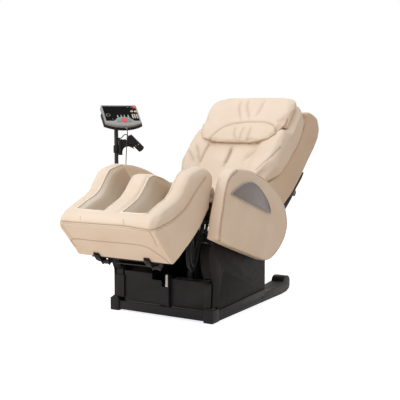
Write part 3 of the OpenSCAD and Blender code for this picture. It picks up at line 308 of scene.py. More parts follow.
# --- Finishes -----------------------------------------------------------------------------
@dataclass(frozen=True)
class Leather:
    """Soft grained hide with painted shade in its creases and seams and, on some pieces, a knit lining."""

    name: str = "cream_hide"
    light: tuple[int, int, int] = (233, 217, 200)
    deep: tuple[int, int, int] = (228, 211, 192)
    # colour of the painted shade in creases and seams
    crease: tuple[int, int, int] = (150, 118, 92)
    lining: tuple[int, int, int] = (226, 217, 204)
    # tone the lining turns to towards the knee: the calf faces' beige, darkened by painted shade
    knee: tuple[int, int, int] = (204, 186, 165)
    roughness: float = 0.5
    gloss: float = 0.3

    def build(self) -> bpy.types.Material:
        """Builds the material from the "crease", "lining" and "knee" marks on the mesh.

        Returns:
            The material.
        """
        g = Graph(bpy.data.materials.new(self.name))
        broad = g.noise(5.0, 3.0).between(0.34, 0.66)
        fine = g.noise(60.0, 4.0)
        hide = g.mix(broad, tone(*self.light), tone(*self.deep))
        # painted shade: creases and seams darken by the crease mark
        hide = g.mix(g.mark("crease"), hide, tone(*self.crease))
        lining = g.mark("lining")
        # towards the knee the lining darkens: partly the calf faces' beige, partly painted shade
        colour = g.mix(lining, hide, g.mix(g.mark("knee"), tone(*self.lining), tone(*self.knee)))
        cells = g.add("ShaderNodeTexVoronoi", {"feature": "SMOOTH_F1"},
                      {"Vector": g.place(), "Scale": 620.0, "Smoothness": 0.5})
        knit = g.add("ShaderNodeTexWave", {"wave_type": "BANDS", "bands_direction": "DIAGONAL"},
                     {"Vector": g.place(), "Scale": 160.0, "Distortion": 0.6})
        grain = cells * (1.0 - lining) + knit * lining * 0.8
        folds = g.bump(g.noise(26.0, 3.0), 0.004, 0.16)
        normal = g.bump(grain, 0.00035, 0.5, folds)
        rough = fine * 0.16 + (self.roughness - 0.08) + lining * 0.2
        return g.surface(Base_Color=colour, Roughness=rough, Specular_IOR_Level=self.gloss, Normal=normal)


@dataclass(frozen=True)
class Plastic:
    """Moulded plastic with a fine spark-eroded grain and paler, rubbed patches."""

    name: str
    body: tuple[int, int, int]
    worn: tuple[int, int, int]
    roughness: float = 0.5
    grain: float = 0.0002
    coat: float = 0.0
    metallic: float = 0.0
    gloss: float = 0.25

    def build(self) -> bpy.types.Material:
        """Builds the material.

        Returns:
            The material.
        """
        g = Graph(bpy.data.materials.new(self.name))
        cloud = g.noise(9.0, 4.0).between(0.35, 0.7)
        colour = g.mix(cloud, tone(*self.body), tone(*self.worn))
        speck = g.noise(900.0, 2.0)
        smear = g.noise(30.0, 5.0)
        return g.surface(Base_Color=colour, Roughness=smear * 0.2 + (self.roughness - 0.1),
                         Metallic=self.metallic, Coat_Weight=self.coat, Coat_Roughness=0.15,
                         Specular_IOR_Level=self.gloss, Normal=g.bump(speck, self.grain, 0.6))


@dataclass(frozen=True)
class Steel:
    """Steel: powder coated where metallic is 0, drawn bar where it is 1."""

    name: str
    body: tuple[int, int, int]
    worn: tuple[int, int, int]
    roughness: float = 0.4
    metallic: float = 0.0
    stretch: Point = (1.0, 1.0, 1.0)

    def build(self) -> bpy.types.Material:
        """Builds the material.

        Returns:
            The material.
        """
        g = Graph(bpy.data.materials.new(self.name))
        turned = g.add("ShaderNodeMapping", None, {"Vector": g.place(), "Scale": self.stretch})
        streak = g.add("ShaderNodeTexNoise", None, {"Vector": turned, "Scale": 220.0, "Detail": 3.0})
        cloud = g.noise(14.0, 4.0).between(0.4, 0.7)
        return g.surface(Base_Color=g.mix(cloud, tone(*self.body), tone(*self.worn)),
                         Metallic=self.metallic, Roughness=streak * 0.2 + (self.roughness - 0.1),
                         Specular_IOR_Level=0.3, Normal=g.bump(streak, 0.00012, 0.5))


@dataclass(frozen=True)
class Rubber:
    """Dusty rubber of the hoses, the leads and the floor rollers."""

    name: str
    body: tuple[int, int, int]
    roughness: float = 0.55

    def build(self) -> bpy.types.Material:
        """Builds the material.

        Returns:
            The material.
        """
        g = Graph(bpy.data.materials.new(self.name))
        dust = g.noise(45.0, 4.0).between(0.5, 0.8)
        worn = tuple(min(255, value + 16) for value in self.body)
        return g.surface(Base_Color=g.mix(dust, tone(*self.body), tone(*worn)),
                         Roughness=g.noise(300.0) * 0.2 + (self.roughness - 0.1),
                         Specular_IOR_Level=0.25, Normal=g.bump(g.noise(500.0), 0.0001, 0.6))


class Finishes:
    """Every finish of the chair, built once."""

    def __init__(self) -> None:
        """Builds the materials."""
        self.hide = Leather().build()
        # A darker, browner copy of the hide: painted shade for the back cover's sides.
        self.wrap = Leather("shaded_wrap_hide", (220, 197, 173), (213, 189, 164)).build()
        self.lining = Leather("knit_lining", (222, 214, 202), (212, 203, 190), (150, 134, 118),
                              roughness=0.75, gloss=0.15).build()
        self.welt = Leather("hide_welt", (248, 240, 228), (242, 232, 218), (210, 190, 166)).build()
        self.seam = Leather("seam_thread", (168, 136, 110), (156, 124, 98), (140, 110, 88)).build()
        self.piping = Leather("brown_piping", (196, 162, 130), (184, 150, 118), (150, 120, 96)).build()
        self.black = Plastic("black_moulding", (22, 20, 21), (28, 26, 27), 0.5, gloss=0.2).build()
        self.charcoal = Plastic("charcoal_moulding", (19, 17, 17), (23, 21, 21), 0.62, gloss=0.12).build()
        self.machine = Plastic("machine_moulding", (36, 37, 40), (44, 45, 48), 0.5).build()
        self.shell = Plastic("grey_shell", (84, 84, 92), (94, 94, 101), 0.46).build()
        self.insert = Plastic("grey_insert", (118, 110, 111), (128, 120, 120), 0.36, 0.00012,
                              gloss=0.5).build()
        # A pale rim round each hand plate: a painted highlight along the plate's edge.
        self.rim_highlight = Plastic("plate_edge_highlight", (204, 196, 190), (212, 204, 198), 0.35, 0.00005).build()
        # Twin ridges, paler than the black rail.
        self.ridge = Plastic("pale_rail_ridge", (84, 80, 72), (98, 93, 84), 0.45).build()
        self.pale = Plastic("pale_tab", (236, 236, 232), (228, 228, 224), 0.4).build()
        self.filter = Plastic("filter_foam", (20, 20, 21), (26, 26, 27), 0.9, 0.0006).build()
        self.roller = Plastic("roller_moulding", (188, 178, 164), (176, 166, 152), 0.42).build()
        self.silver = Plastic("silver_panel", (146, 146, 147), (156, 156, 156), 0.4, 0.0001,
                              metallic=0.1).build()
        self.glossy = Plastic("panel_window", (5, 5, 6), (8, 8, 9), 0.3, 0.00002, gloss=0.02).build()
        self.print = Plastic("panel_print", (168, 184, 180), (178, 192, 188), 0.5, 0.00002).build()
        self.red = Plastic("red_key", (206, 50, 66), (214, 66, 80), 0.35, 0.00004, coat=0.2).build()
        self.green = Plastic("green_key", (94, 140, 126), (104, 150, 136), 0.35, 0.00004, coat=0.2).build()
        self.white = Plastic("white_key", (178, 174, 166), (190, 186, 178), 0.35, 0.00004, coat=0.2).build()
        self.orange = Plastic("orange_key", (226, 172, 74), (232, 182, 90), 0.35, 0.00004, coat=0.2).build()
        self.coated = Steel("black_steel", (28, 28, 29), (36, 36, 37), 0.42).build()
        self.bright = Steel("drawn_steel", (176, 178, 180), (150, 152, 156), 0.28, metallic=1.0,
                            stretch=(1.0, 1.0, 0.08)).build()
        self.hose = Rubber("hose_rubber", (26, 26, 28)).build()
        self.lead = Rubber("lead_rubber", (58, 58, 60)).build()


# --- Shaping tools ------------------------------------------------------------------------
def only(piece: bpy.types.Object) -> None:
    """Selects one object alone and makes it active.

    Args:
        piece: The object.
    """
    bpy.ops.object.select_all(action="DESELECT")
    piece.hide_set(False)
    piece.select_set(True)
    bpy.context.view_layer.objects.active = piece


def apply_modifiers(piece: bpy.types.Object) -> None:
    """Applies every modifier of a piece, in order.

    Args:
        piece: The piece.
    """
    only(piece)
    for name in [m.name for m in piece.modifiers]:
        bpy.ops.object.modifier_apply(modifier=name)


def rows_of(piece: bpy.types.Object, what: str = "co") -> np.ndarray:
    """Reads a vector of each vertex.

    Args:
        piece: The piece.
        what: "co" for its place in metres, "normal" for its normal.

    Returns:
        One row per vertex.
    """
    data = np.zeros(len(piece.data.vertices) * 3)
    piece.data.vertices.foreach_get(what, data)
    return data.reshape(-1, 3)


def put_points(piece: bpy.types.Object, points: np.ndarray) -> None:
    """Writes the piece's vertices."""
    piece.data.vertices.foreach_set("co", points.astype(np.float32).ravel())
    piece.data.update()


def put_mark(piece: bpy.types.Object, name: str, values: np.ndarray) -> None:
    """Stores a number for each vertex.

    Args:
        piece: The piece.
        name: The name that a finish reads it by.
        values: One number per vertex.
    """
    marks = piece.data.attributes
    mark = marks.get(name) or marks.new(name, "FLOAT", "POINT")
    mark.data.foreach_set("value", values.astype(np.float32))


def get_mark(piece: bpy.types.Object, name: str) -> np.ndarray:
    """Reads such a number.

    Args:
        piece: The piece.
        name: Its name.

    Returns:
        One number per vertex, zeros where the piece has none.
    """
    values = np.zeros(len(piece.data.vertices))
    mark = piece.data.attributes.get(name)
    if mark is not None:
        mark.data.foreach_get("value", values)
    return values


def copy_node(node: str, name: str) -> bpy.types.Object:
    """Copies a CAD node's mesh, merged, as a new piece.

    Args:
        node: The CAD node.
        name: The new piece's name.

    Returns:
        The new piece, at the origin.
    """
    source = bpy.data.objects[node]
    piece = bpy.data.objects.new(name, source.data.copy())
    bpy.context.scene.collection.objects.link(piece)
    piece.data.materials.clear()
    mesh = bmesh.new()
    mesh.from_mesh(piece.data)
    bmesh.ops.remove_doubles(mesh, verts=mesh.verts, dist=MERGE)
    mesh.to_mesh(piece.data)
    mesh.free()
    return piece


def tree_of(piece: bpy.types.Object) -> BVHTree:
    """Builds a search tree.

    Args:
        piece: The piece.

    Returns:
        The tree of its faces.
    """
    mesh = bmesh.new()
    mesh.from_mesh(piece.data)
    tree = BVHTree.FromBMesh(mesh)
    mesh.free()
    return tree


def curve_through(points: Sequence[Vector], step: float) -> list[Vector]:
    """Smooth open line through points.

    Args:
        points: The points it passes.
        step: Spacing of the result in metres.

    Returns:
        Points along the line.
    """
    ends = [points[0] * 2 - points[1], *points, points[-1] * 2 - points[-2]]
    line: list[Vector] = []
    for a, b, c, d in zip(ends, ends[1:], ends[2:], ends[3:]):
        count = max(1, round((c - b).length / step))
        for k in range(count):
            t = k / count
            line.append(0.5 * (2 * b + (c - a) * t + (2 * a - 5 * b + 4 * c - d) * t * t
                               + (3 * b - a - 3 * c + d) * t ** 3))
    return [*line, points[-1].copy()]


def distance_to(points: np.ndarray, line: Sequence[Vector], reach: float = 0.08) -> np.ndarray:
    """Distance of each point to a polyline.

    Args:
        points: Points, one per row.
        line: The polyline.
        reach: How far outside the line's box a point is still measured, in metres.

    Returns:
        One distance per point, a huge one past the reach.
    """
    far = 1e9
    corners = np.array([tuple(p) for p in line])
    best = np.full(len(points), far)
    near = np.all((points > corners.min(0) - reach) & (points < corners.max(0) + reach), axis=1)
    part = points[near]
    part_best = np.full(len(part), far)
    for a, b in zip(corners, corners[1:]):
        d = b - a
        t = np.clip(((part - a) @ d) / max(d @ d, 1e-12), 0, 1)
        part_best = np.minimum(part_best, np.linalg.norm(part - a - t[:, None] * d, axis=1))
    best[near] = part_best
    return best


def neighbour_mean(piece: bpy.types.Object, values: np.ndarray, rounds: int) -> np.ndarray:
    """Spreads values over a mesh by averaging neighbours.

    Args:
        piece: The piece whose edges say who the neighbours are.
        values: One row per vertex.
        rounds: How many times to average.

    Returns:
        The spread values.
    """
    ends = np.zeros(len(piece.data.edges) * 2, dtype=np.int64)
    piece.data.edges.foreach_get("vertices", ends)
    a, b = ends.reshape(-1, 2).T
    count = len(values)
    share = np.maximum(np.bincount(a, minlength=count) + np.bincount(b, minlength=count), 1)
    for _ in range(rounds):
        values = np.stack([(np.bincount(a, column[b], count) + np.bincount(b, column[a], count)) / share
                           for column in values.T], axis=1)
    return values


def smooth_step(values: np.ndarray, low: float, high: float) -> np.ndarray:
    """Smooth step from 0 at low to 1 at high."""
    t = np.clip((values - low) / (high - low), 0, 1)
    return t * t * (3 - 2 * t)


@dataclass(frozen=True)
class Fold:
    """How a line is pressed into a cover: depth and half width in metres, and how much painted shade it
    gets.
    """

    depth: float
    width: float
    shade: float


@dataclass(frozen=True)
class Seam(Fold):
    """A fold that is sewn, with the radius of its thread in metres."""

    thread: float


class Upholstery:
    """A padded piece made from a CAD node's solid: remeshed, swollen as cloth, sewn and creased."""

    def __init__(self, node: str, name: str, voxel: float, smooth: int) -> None:
        """Copies the node and remeshes it.

        Args:
            node: The CAD node it stands for.
            name: The piece's name.
            voxel: Voxel size in metres.
            smooth: Rounds of smoothing.
        """
        self.node = node
        self.threads: list[tuple[list[Vector], float]] = []
        self.piece = copy_node(node, name)
        self.solid = tree_of(self.piece)
        only(self.piece)
        self.piece.data.remesh_voxel_size = voxel
        bpy.ops.object.voxel_remesh()
        self.relax(smooth)

    def relax(self, rounds: int) -> None:
        """Relaxes the surface and brings it back onto its solid, with soft corners kept.

        Args:
            rounds: Rounds of smoothing, of the surface and then of its way back.
        """
        modifier = self.piece.modifiers.new("relax", "SMOOTH")
        modifier.iterations = rounds
        apply_modifiers(self.piece)
        places = rows_of(self.piece)
        nearest = np.array([tuple(self.solid.find_nearest(Vector(p))[0]) for p in places])
        put_points(self.piece, places + neighbour_mean(self.piece, nearest - places, rounds))

    def swell(self, pressure: float, cap: float,
              free: Callable[[np.ndarray], np.ndarray] | None = None) -> None:
        """Lets the cover fill like cloth, and limits how far a point may move.

        Args:
            pressure: Cloth pressure.
            cap: Farthest move in metres.
            free: How free each point is to move, from 0, held to its board, to 1.
        """
        start = rows_of(self.piece)
        cloth = self.piece.modifiers.new("fill", "CLOTH").settings
        cloth.use_pressure = True
        cloth.uniform_pressure_force = pressure
        cloth.effector_weights.gravity = 0.0
        cloth.quality = 4
        cloth.tension_stiffness = 12.0
        cloth.compression_stiffness = 12.0
        cloth.bending_stiffness = 1.5
        scene = bpy.context.scene
        for number in range(1, FILL_FRAMES + 1):
            scene.frame_set(number)
        apply_modifiers(self.piece)
        scene.frame_set(1)
        moved = rows_of(self.piece) - start
        if free is not None:
            moved *= free(start)[:, None]
        size = np.linalg.norm(moved, axis=1, keepdims=True)
        put_points(self.piece, start + moved * np.minimum(1.0, cap / np.maximum(size, 1e-9)))

    def line(self, points: Iterable[Sequence[float]]) -> list[Vector]:
        """Lays a smooth line on the piece's surface.

        Args:
            points: The points that it passes, in millimetres.

        Returns:
            Points along the line, in metres.
        """
        tree = tree_of(self.piece)
        return [tree.find_nearest(p)[0] for p in curve_through([Vector(p) * MM for p in points], LINE_STEP)]

    def press(self, fold: Fold, drop: np.ndarray) -> None:
        """Draws the surface in and paints shade into it.

        Args:
            fold: How deep and how much painted shade; a negative depth raises the surface.
            drop: How much of that each vertex gets, from 0 to 1.
        """
        places, normals = rows_of(self.piece), rows_of(self.piece, "normal")
        mark = get_mark(self.piece, "crease")
        put_points(self.piece, places + normals * (-fold.depth * drop)[:, None])
        put_mark(self.piece, "crease", np.maximum(mark, fold.shade * drop))

    def crease(self, line: Sequence[Vector], fold: Fold) -> None:
        """Draws the surface in evenly along a line and paints shade into it.

        Args:
            line: The line.
            fold: How it is drawn in.
        """
        self.press(fold, np.exp(-(distance_to(rows_of(self.piece), line) / fold.width) ** 2))

    def fold(self, points: Iterable[Sequence[float]], fold: Fold) -> None:
        """Presses in a fold that gets shallower towards its ends, with painted shade in it.

        Args:
            points: The points that it passes, in millimetres.
            fold: How it is pressed in.
        """
        line, places = self.line(points), rows_of(self.piece)
        last = len(line) - 1
        total = np.zeros(len(places))
        for (start, end), spread in (((0.0, 1.0), 0.8), ((0.18, 0.82), 1.2)):
            part = line[int(start * last):int(end * last) + 1]
            total += 0.5 * np.exp(-(distance_to(places, part) / (fold.width * spread)) ** 2)
        self.press(fold, total)

    def sew(self, points: Iterable[Sequence[float]], seam: Seam) -> None:
        """Draws a seam in, paints shade into it and keeps its thread for later.

        Args:
            points: The points that it passes, in millimetres.
            seam: How it is sewn.
        """
        line = self.line(points)
        self.crease(line, seam)
        self.threads.append((line, seam.thread))

    def finish(self, body: str, finish: bpy.types.Material, slot: str, fill: float,
               thread: bpy.types.Material | None = None) -> None:
        """Args:
            body: The body it rides on.
            finish: Its material.
            slot: Its material slot; not used.
            fill: How full it is stuffed; not used.
            thread: The material of its seams.
        """
        for name in ("crease", "lining", "knee"):
            put_mark(self.piece, name, get_mark(self.piece, name))
        modifier = self.piece.modifiers.new("fine", "SUBSURF")
        modifier.levels = modifier.render_levels = 1
        apply_modifiers(self.piece)
        dress(self.piece, finish, body)
        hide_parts(self.node)
        if self.threads and thread is not None:
            dress(self.stitches(f"{self.piece.name}_seams"), thread, body)

    def stitches(self, name: str) -> bpy.types.Object:
        """Lays the kept threads on the finished surface as one piece.

        Args:
            name: The piece's name.

        Returns:
            The threads, each sunk in by a part of its radius.
        """
        sunk = 0.35
        tree = tree_of(self.piece)
        parts = [tube(f"{name}_{number}", laid_on(tree, line, -radius * sunk), radius, sides=1)
                 for number, (line, radius) in enumerate(self.threads)]
        return joined(name, parts)


def laid_on(tree: BVHTree, line: Iterable[Vector], height: float) -> list[Vector]:
    """Lays a line at a height over a surface.

    Args:
        tree: The surface.
        line: The line, in metres.
        height: Its height over the surface, in metres.

    Returns:
        The laid points.
    """
    feet = (tree.find_nearest(point)[:2] for point in line)
    return [place + normal * height for place, normal in feet]


def paint(node: str, finish: bpy.types.Material) -> None:
    """Gives a carried-over CAD node its finish.

    Args:
        node: The node.
        finish: Its material.
    """
    materials = bpy.data.objects[node].data.materials
    materials.clear()
    materials.append(finish)
    log.info("%s is finished as %s", node, finish.name)


def dress(piece: bpy.types.Object, finish: bpy.types.Material, body: str | None,
          hard: bool = False) -> None:
    """Gives a piece its material, shading and body.

    Args:
        piece: The piece.
        finish: Its material.
        body: The body it rides on, or None where it bends between two.
        hard: Whether its edges show, as on a moulding.
    """
    piece.data.materials.clear()
    piece.data.materials.append(finish)
    only(piece)
    if hard:
        bpy.ops.object.shade_smooth_by_angle(angle=math.radians(HARD_ANGLE))
    else:
        bpy.ops.object.shade_smooth()
    if body is not None:
        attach(piece, body)
    log.info("%s rides on %s", piece.name, body or "two bodies")


def tube(name: str, line: Sequence[Vector], radius: float, sides: int,
         closed: bool = False) -> bpy.types.Object:
    """A round tube along a line, as a mesh.

    Args:
        name: The piece's name.
        line: Its centreline in metres.
        radius: Its radius in metres.
        sides: Bevel resolution of the section.
        closed: Whether the line meets its own start.

    Returns:
        The tube.
    """
    data = bpy.data.curves.new(name, "CURVE")
    data.dimensions = "3D"
    data.bevel_depth = radius
    data.bevel_resolution = sides
    data.use_fill_caps = True
    spline = data.splines.new("POLY")
    spline.points.add(len(line) - 1)
    for point, place in zip(spline.points, line):
        point.co = (*place, 1.0)
    spline.use_cyclic_u = closed
    piece = bpy.data.objects.new(name, data)
    bpy.context.scene.collection.objects.link(piece)
    only(piece)
    bpy.ops.object.convert(target="MESH")
    return bpy.context.view_layer.objects.active


def placed(piece: bpy.types.Object, frame: Frame, centre: Point) -> bpy.types.Object:
    """Moves a piece from the origin to a frame's point and settles it in its mesh.

    Args:
        piece: The piece, modelled about the origin in metres.
        frame: The frame it lies in.
        centre: Its place in that frame, in millimetres.

    Returns:
        The piece.
    """
    only(piece)
    piece.matrix_world = frame.metres @ Matrix.Translation(Vector(centre) * MM)
    bpy.ops.object.transform_apply(location=True, rotation=True, scale=True)
    return piece


def select_top(piece: bpy.types.Object) -> None:
    """Selects the faces that look up, in edit mode.

    Args:
        piece: The piece in edit mode.
    """
    bpy.ops.mesh.select_all(action="DESELECT")
    mesh = bmesh.from_edit_mesh(piece.data)
    for face in mesh.faces:
        face.select = face.normal.z > LOOKS_UP
    bmesh.update_edit_mesh(piece.data)


def block(name: str, frame: Frame, centre: Point, size: Point, rounding: float,
          taper: Point = (1.0, 1.0, 1.0), segments: int = 2) -> bpy.types.Object:
    """A rounded, tapered moulding.

    Args:
        name: Its name.
        frame: The frame it lies in.
        centre: Its middle in that frame, in millimetres.
        size: Its sides in millimetres.
        rounding: Radius of its edges in millimetres.
        taper: How its top face is drawn in or widened.
        segments: Steps of the rounding.

    Returns:
        The piece.
    """
    bpy.ops.object.select_all(action="DESELECT")
    bpy.ops.mesh.primitive_cube_add(size=1.0)
    piece = bpy.context.active_object
    piece.name = name
    piece.scale = [side * MM for side in size]
    bpy.ops.object.transform_apply(location=False, rotation=False, scale=True)
    bpy.ops.object.mode_set(mode="EDIT")
    select_top(piece)
    bpy.ops.transform.resize(value=taper)
    bpy.ops.mesh.select_all(action="SELECT")
    bpy.ops.mesh.bevel(offset=rounding * MM, segments=segments, affect="EDGES")
    bpy.ops.object.mode_set(mode="OBJECT")
    return placed(piece, frame, centre)


def disc(name: str, frame: Frame, centre: Point, radius: float, height: float) -> bpy.types.Object:
    """A round button with a rounded rim, facing the frame's -Y.

    Args:
        name: Its name.
        frame: The frame it lies in.
        centre: Its middle in that frame, in millimetres.
        radius: Its radius in millimetres.
        height: Its height in millimetres.

    Returns:
        The piece.
    """
    bpy.ops.object.select_all(action="DESELECT")
    bpy.ops.mesh.primitive_cylinder_add(vertices=40, radius=radius * MM, depth=height * MM)
    piece = bpy.context.active_object
    piece.name = name
    bpy.ops.object.mode_set(mode="EDIT")
    select_top(piece)
    bpy.ops.mesh.bevel(offset=height * MM * 0.3, segments=2, affect="EDGES")
    bpy.ops.object.mode_set(mode="OBJECT")
    piece.data.transform(FACING)
    return placed(piece, frame, centre)


def ring(name: str, radius: float, section: float, sides: tuple[int, int],
         squash: Point) -> bpy.types.Object:
    """A squashed ring about the origin's Z.

    Args:
        name: Its name.
        radius: Radius of its middle line in millimetres.
        section: Radius of its section in millimetres.
        sides: Steps round the ring and round the section.
        squash: How it is drawn in along X, Y and Z.

    Returns:
        The ring, at the origin.
    """
    bpy.ops.object.select_all(action="DESELECT")
    bpy.ops.mesh.primitive_torus_add(major_radius=radius * MM, minor_radius=section * MM,
                                     major_segments=sides[0], minor_segments=sides[1])
    piece = bpy.context.active_object
    piece.name = name
    bpy.ops.object.mode_set(mode="EDIT")
    bpy.ops.mesh.select_all(action="SELECT")
    bpy.ops.transform.resize(value=squash)
    bpy.ops.object.mode_set(mode="OBJECT")
    return piece


def moulded(node: str, name: str, finish: bpy.types.Material, body: str,
            edge: float = FINE_EDGE, segments: int = 2) -> None:
    """Puts a copy of a CAD node with rounded edges in the node's place.

    Args:
        node: The CAD node.
        name: The new piece's name.
        finish: Its material.
        body: The body it rides on.
        edge: Width of the rounding in metres.
        segments: Steps of the rounding.
    """
    piece = copy_node(node, name)
    only(piece)
    flat = piece.modifiers.new("flat", "DECIMATE")
    flat.decimate_type = "DISSOLVE"
    flat.angle_limit = math.radians(FLAT_ANGLE)
    bevel = piece.modifiers.new("edge", "BEVEL")
    bevel.width = edge
    bevel.segments = segments
    bevel.limit_method = "ANGLE"
    bevel.angle_limit = math.radians(ROUND_ANGLE)
    apply_modifiers(piece)
    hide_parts(node)
    dress(piece, finish, body, hard=True)


def joined(name: str, parts: Sequence[bpy.types.Object]) -> bpy.types.Object:
    """Joins pieces into one.

    Args:
        name: Its name.
        parts: The pieces.

    Returns:
        The joined piece.
    """
    bpy.ops.object.select_all(action="DESELECT")
    for part in parts:
        part.select_set(True)
    bpy.context.view_layer.objects.active = parts[0]
    if len(parts) > 1:
        bpy.ops.object.join()
    parts[0].name = name
    return parts[0]


# --- Studio -------------------------------------------------------------------------------
@dataclass
class Studio:
    """Camera, pale floor and soft lights."""

    eye: Point = (2.2477, -3.8167, 1.0070)
    azimuth: float = 30.8825
    pitch: float = 5.8899
    lens: float = 73.699
    floor_paint: tuple[int, int, int] = (238, 226, 212)
    floor_glow: tuple[float, ...] = (0.9, 0.95, 1.0, 1.0)
    floor_level: float = 0.8
    room_tint: tuple[float, ...] = (1.0, 0.92, 0.85, 1.0)
    room_level: float = 0.45
    backdrop: tuple[float, ...] = (1.0, 1.0, 1.0, 1.0)
    lamps: tuple[tuple[str, Point, Point, float, float], ...] = (
        ("key", (-1.6, -2.9, 3.4), (0.0, -0.1, 0.5), 2.6, 78.0),
        ("top", (0.2, 0.6, 3.6), (0.0, 0.0, 0.6), 2.4, 30.0),
        ("side", (2.4, -2.6, 1.2), (0.0, -0.1, 0.5), 1.8, 8.0),
        ("front", (-1.3, -3.6, 0.9), (0.0, -0.4, 0.4), 1.8, 15.0))

    def build(self) -> None:
        """Builds all of it."""
        self.camera()
        self.floor()
        self.world()
        for lamp in self.lamps:
            self.lamp(*lamp)
        bpy.context.scene.view_settings.view_transform = "Standard"

    def camera(self) -> None:
        """Sets the camera at its standing place."""
        data = bpy.data.cameras.new("camera")
        data.lens = self.lens
        data.sensor_width = 36.0
        eye = bpy.data.objects.new("camera", data)
        eye.location = self.eye
        eye.rotation_euler = (math.radians(90 - self.pitch), 0.0, math.radians(self.azimuth))
        bpy.context.scene.collection.objects.link(eye)
        bpy.context.scene.camera = eye

    def floor(self) -> None:
        """Lays a pale floor that keeps the chair's shadow."""
        bpy.ops.mesh.primitive_plane_add(size=40.0, location=(0, 0, -0.0005))
        floor = bpy.context.active_object
        floor.name = "studio_floor"
        g = Graph(bpy.data.materials.new("studio_floor"))
        matt = g.add("ShaderNodeBsdfDiffuse", None, {"Color": tone(*self.floor_paint)})
        glow = g.add("ShaderNodeEmission", None,
                     {"Color": self.floor_glow, "Strength": g.seen() * self.floor_level})
        both = g.add("ShaderNodeAddShader", None, {0: matt, 1: glow})
        floor.data.materials.append(g.close("ShaderNodeOutputMaterial", both))

    def world(self) -> None:
        """Makes the even studio light and the white backdrop."""
        world = bpy.data.worlds.new("studio")
        bpy.context.scene.world = world
        g = Graph(world)
        seen = g.seen()
        tint = g.mix(seen, self.room_tint, self.backdrop)
        level = g.add("ShaderNodeMapRange", None, {"Value": seen, "To Min": self.room_level, "To Max": 1.0})
        shade = g.add("ShaderNodeBackground", None, {"Color": tint, "Strength": level})
        g.close("ShaderNodeOutputWorld", shade)

    def lamp(self, name: str, place: Point, target: Point, size: float, power: float) -> None:
        """Adds one soft box.

        Args:
            name: Its name.
            place: Where it hangs.
            target: What it points at.
            size: Its side in metres.
            power: Its power in watts.
        """
        data = bpy.data.lights.new(name, "AREA")
        data.size = size
        data.energy = power
        lamp = bpy.data.objects.new(name, data)
        lamp.location = place
        lamp.rotation_euler = (Vector(target) - Vector(place)).to_track_quat("-Z", "Y").to_euler()
        bpy.context.scene.collection.objects.link(lamp)


# --- Cords --------------------------------------------------------------------------------
@dataclass(frozen=True)
class CordStock:
    """What a cord is made of: its diameter in metres, how stiff it is and its finish."""

    diameter: float
    stiffness: str
    finish: bpy.types.Material


@dataclass
class Cords:
    """Air hoses and the two leads of the control stand."""

    finishes: Finishes
    step: float = 0.004
    hose_diameter: float = 0.009
    lead_diameter: float = 0.005
    hose_x: tuple[float, ...] = (204, 215, 226)
    hose_drop: tuple[float, ...] = (0, 12, -14)
    hose_loop: range = range(4, 9)
    hose_route: tuple[Flat, ...] = (
        (-403.6, 482.2), (-406.5, 473.8), (-413, 450), (-425, 405), (-444, 350), (-466, 296),
        (-492, 270), (-515, 292), (-522, 345), (-517, 395), (-516, 428), (-523, 442.6), (-529.35, 449.48))
    panel_route: tuple[Point, ...] = (
        (-334.64, -258.78, 935.73), (-330, -262.3, 930.5), (-327.5, -263.5, 923), (-329, -261, 912),
        (-336, -254, 896), (-345, -244, 872), (-356, -232, 845), (-368, -218, 818), (-381, -203, 785),
        (-393, -189, 752), (-400, -182, 720), (-404, -192, 688), (-406, -206, 669), (-408, -217, 663),
        (-410, -223, 662))
    sensor_foot: Flat = (-425.0, -232.0)
    sensor_turn: float = 31.0
    sensor_route: tuple[Point, ...] = (
        (20, 0, 884), (27, 0, 886), (36, -2, 896), (46, -5, 904), (58, -8, 904), (66.3, -8, 895.7))

    def build(self) -> None:
        """Builds the three hoses and the two leads."""
        hose = CordStock(self.hose_diameter, "medium", self.finishes.hose)
        lead = CordStock(self.lead_diameter, "limp", self.finishes.lead)
        for number, (x, drop) in enumerate(zip(self.hose_x, self.hose_drop), 1):
            route = [(x, y, z - (drop if i in self.hose_loop else 0))
                     for i, (y, z) in enumerate(self.hose_route)]
            self.cord(f"air_hose_{number}", route, hose, "leg_hoses", ("seat", "leg_arm"))
        self.cord("panel_cable", self.panel_route, lead, "panel_lead", ("stand", "cradle"), turned=True)
        turn, (foot_x, foot_y) = math.radians(self.sensor_turn), self.sensor_foot
        route = [(foot_x + x * math.cos(turn) - y * math.sin(turn),
                  foot_y + x * math.sin(turn) + y * math.cos(turn), z) for x, y, z in self.sensor_route]
        self.cord("sensor_cable", route, lead, "sensor_lead", ("stand", "grip"))

    def cord(self, name: str, route: Sequence[Point], stock: CordStock, node: str, bodies: tuple[str, str],
             turned: bool = False) -> None:
        """Builds one cord as a round mesh tube that bends between the two bodies it joins.

        Args:
            name: Its name.
            route: The points it passes, in millimetres.
            stock: What it is made of.
            node: The CAD node it stands for.
            bodies: The body that holds it, and the one that its other end follows.
            turned: Whether the route starts at the end that follows the second body.
        """
        line = curve_through([Vector(p) * MM for p in route], self.step)
        piece = tube(name, line, stock.diameter / 2, sides=4)
        dress(piece, stock.finish, None)
        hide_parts(node)
        length = sum((b - a).length for a, b in zip(line, line[1:]))
        start, end = (line[-1], line[0]) if turned else (line[0], line[-1])
        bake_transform(piece, *bodies, start=tuple(start), end=tuple(end))
        log.info("%s is %.3f m long", name, length)


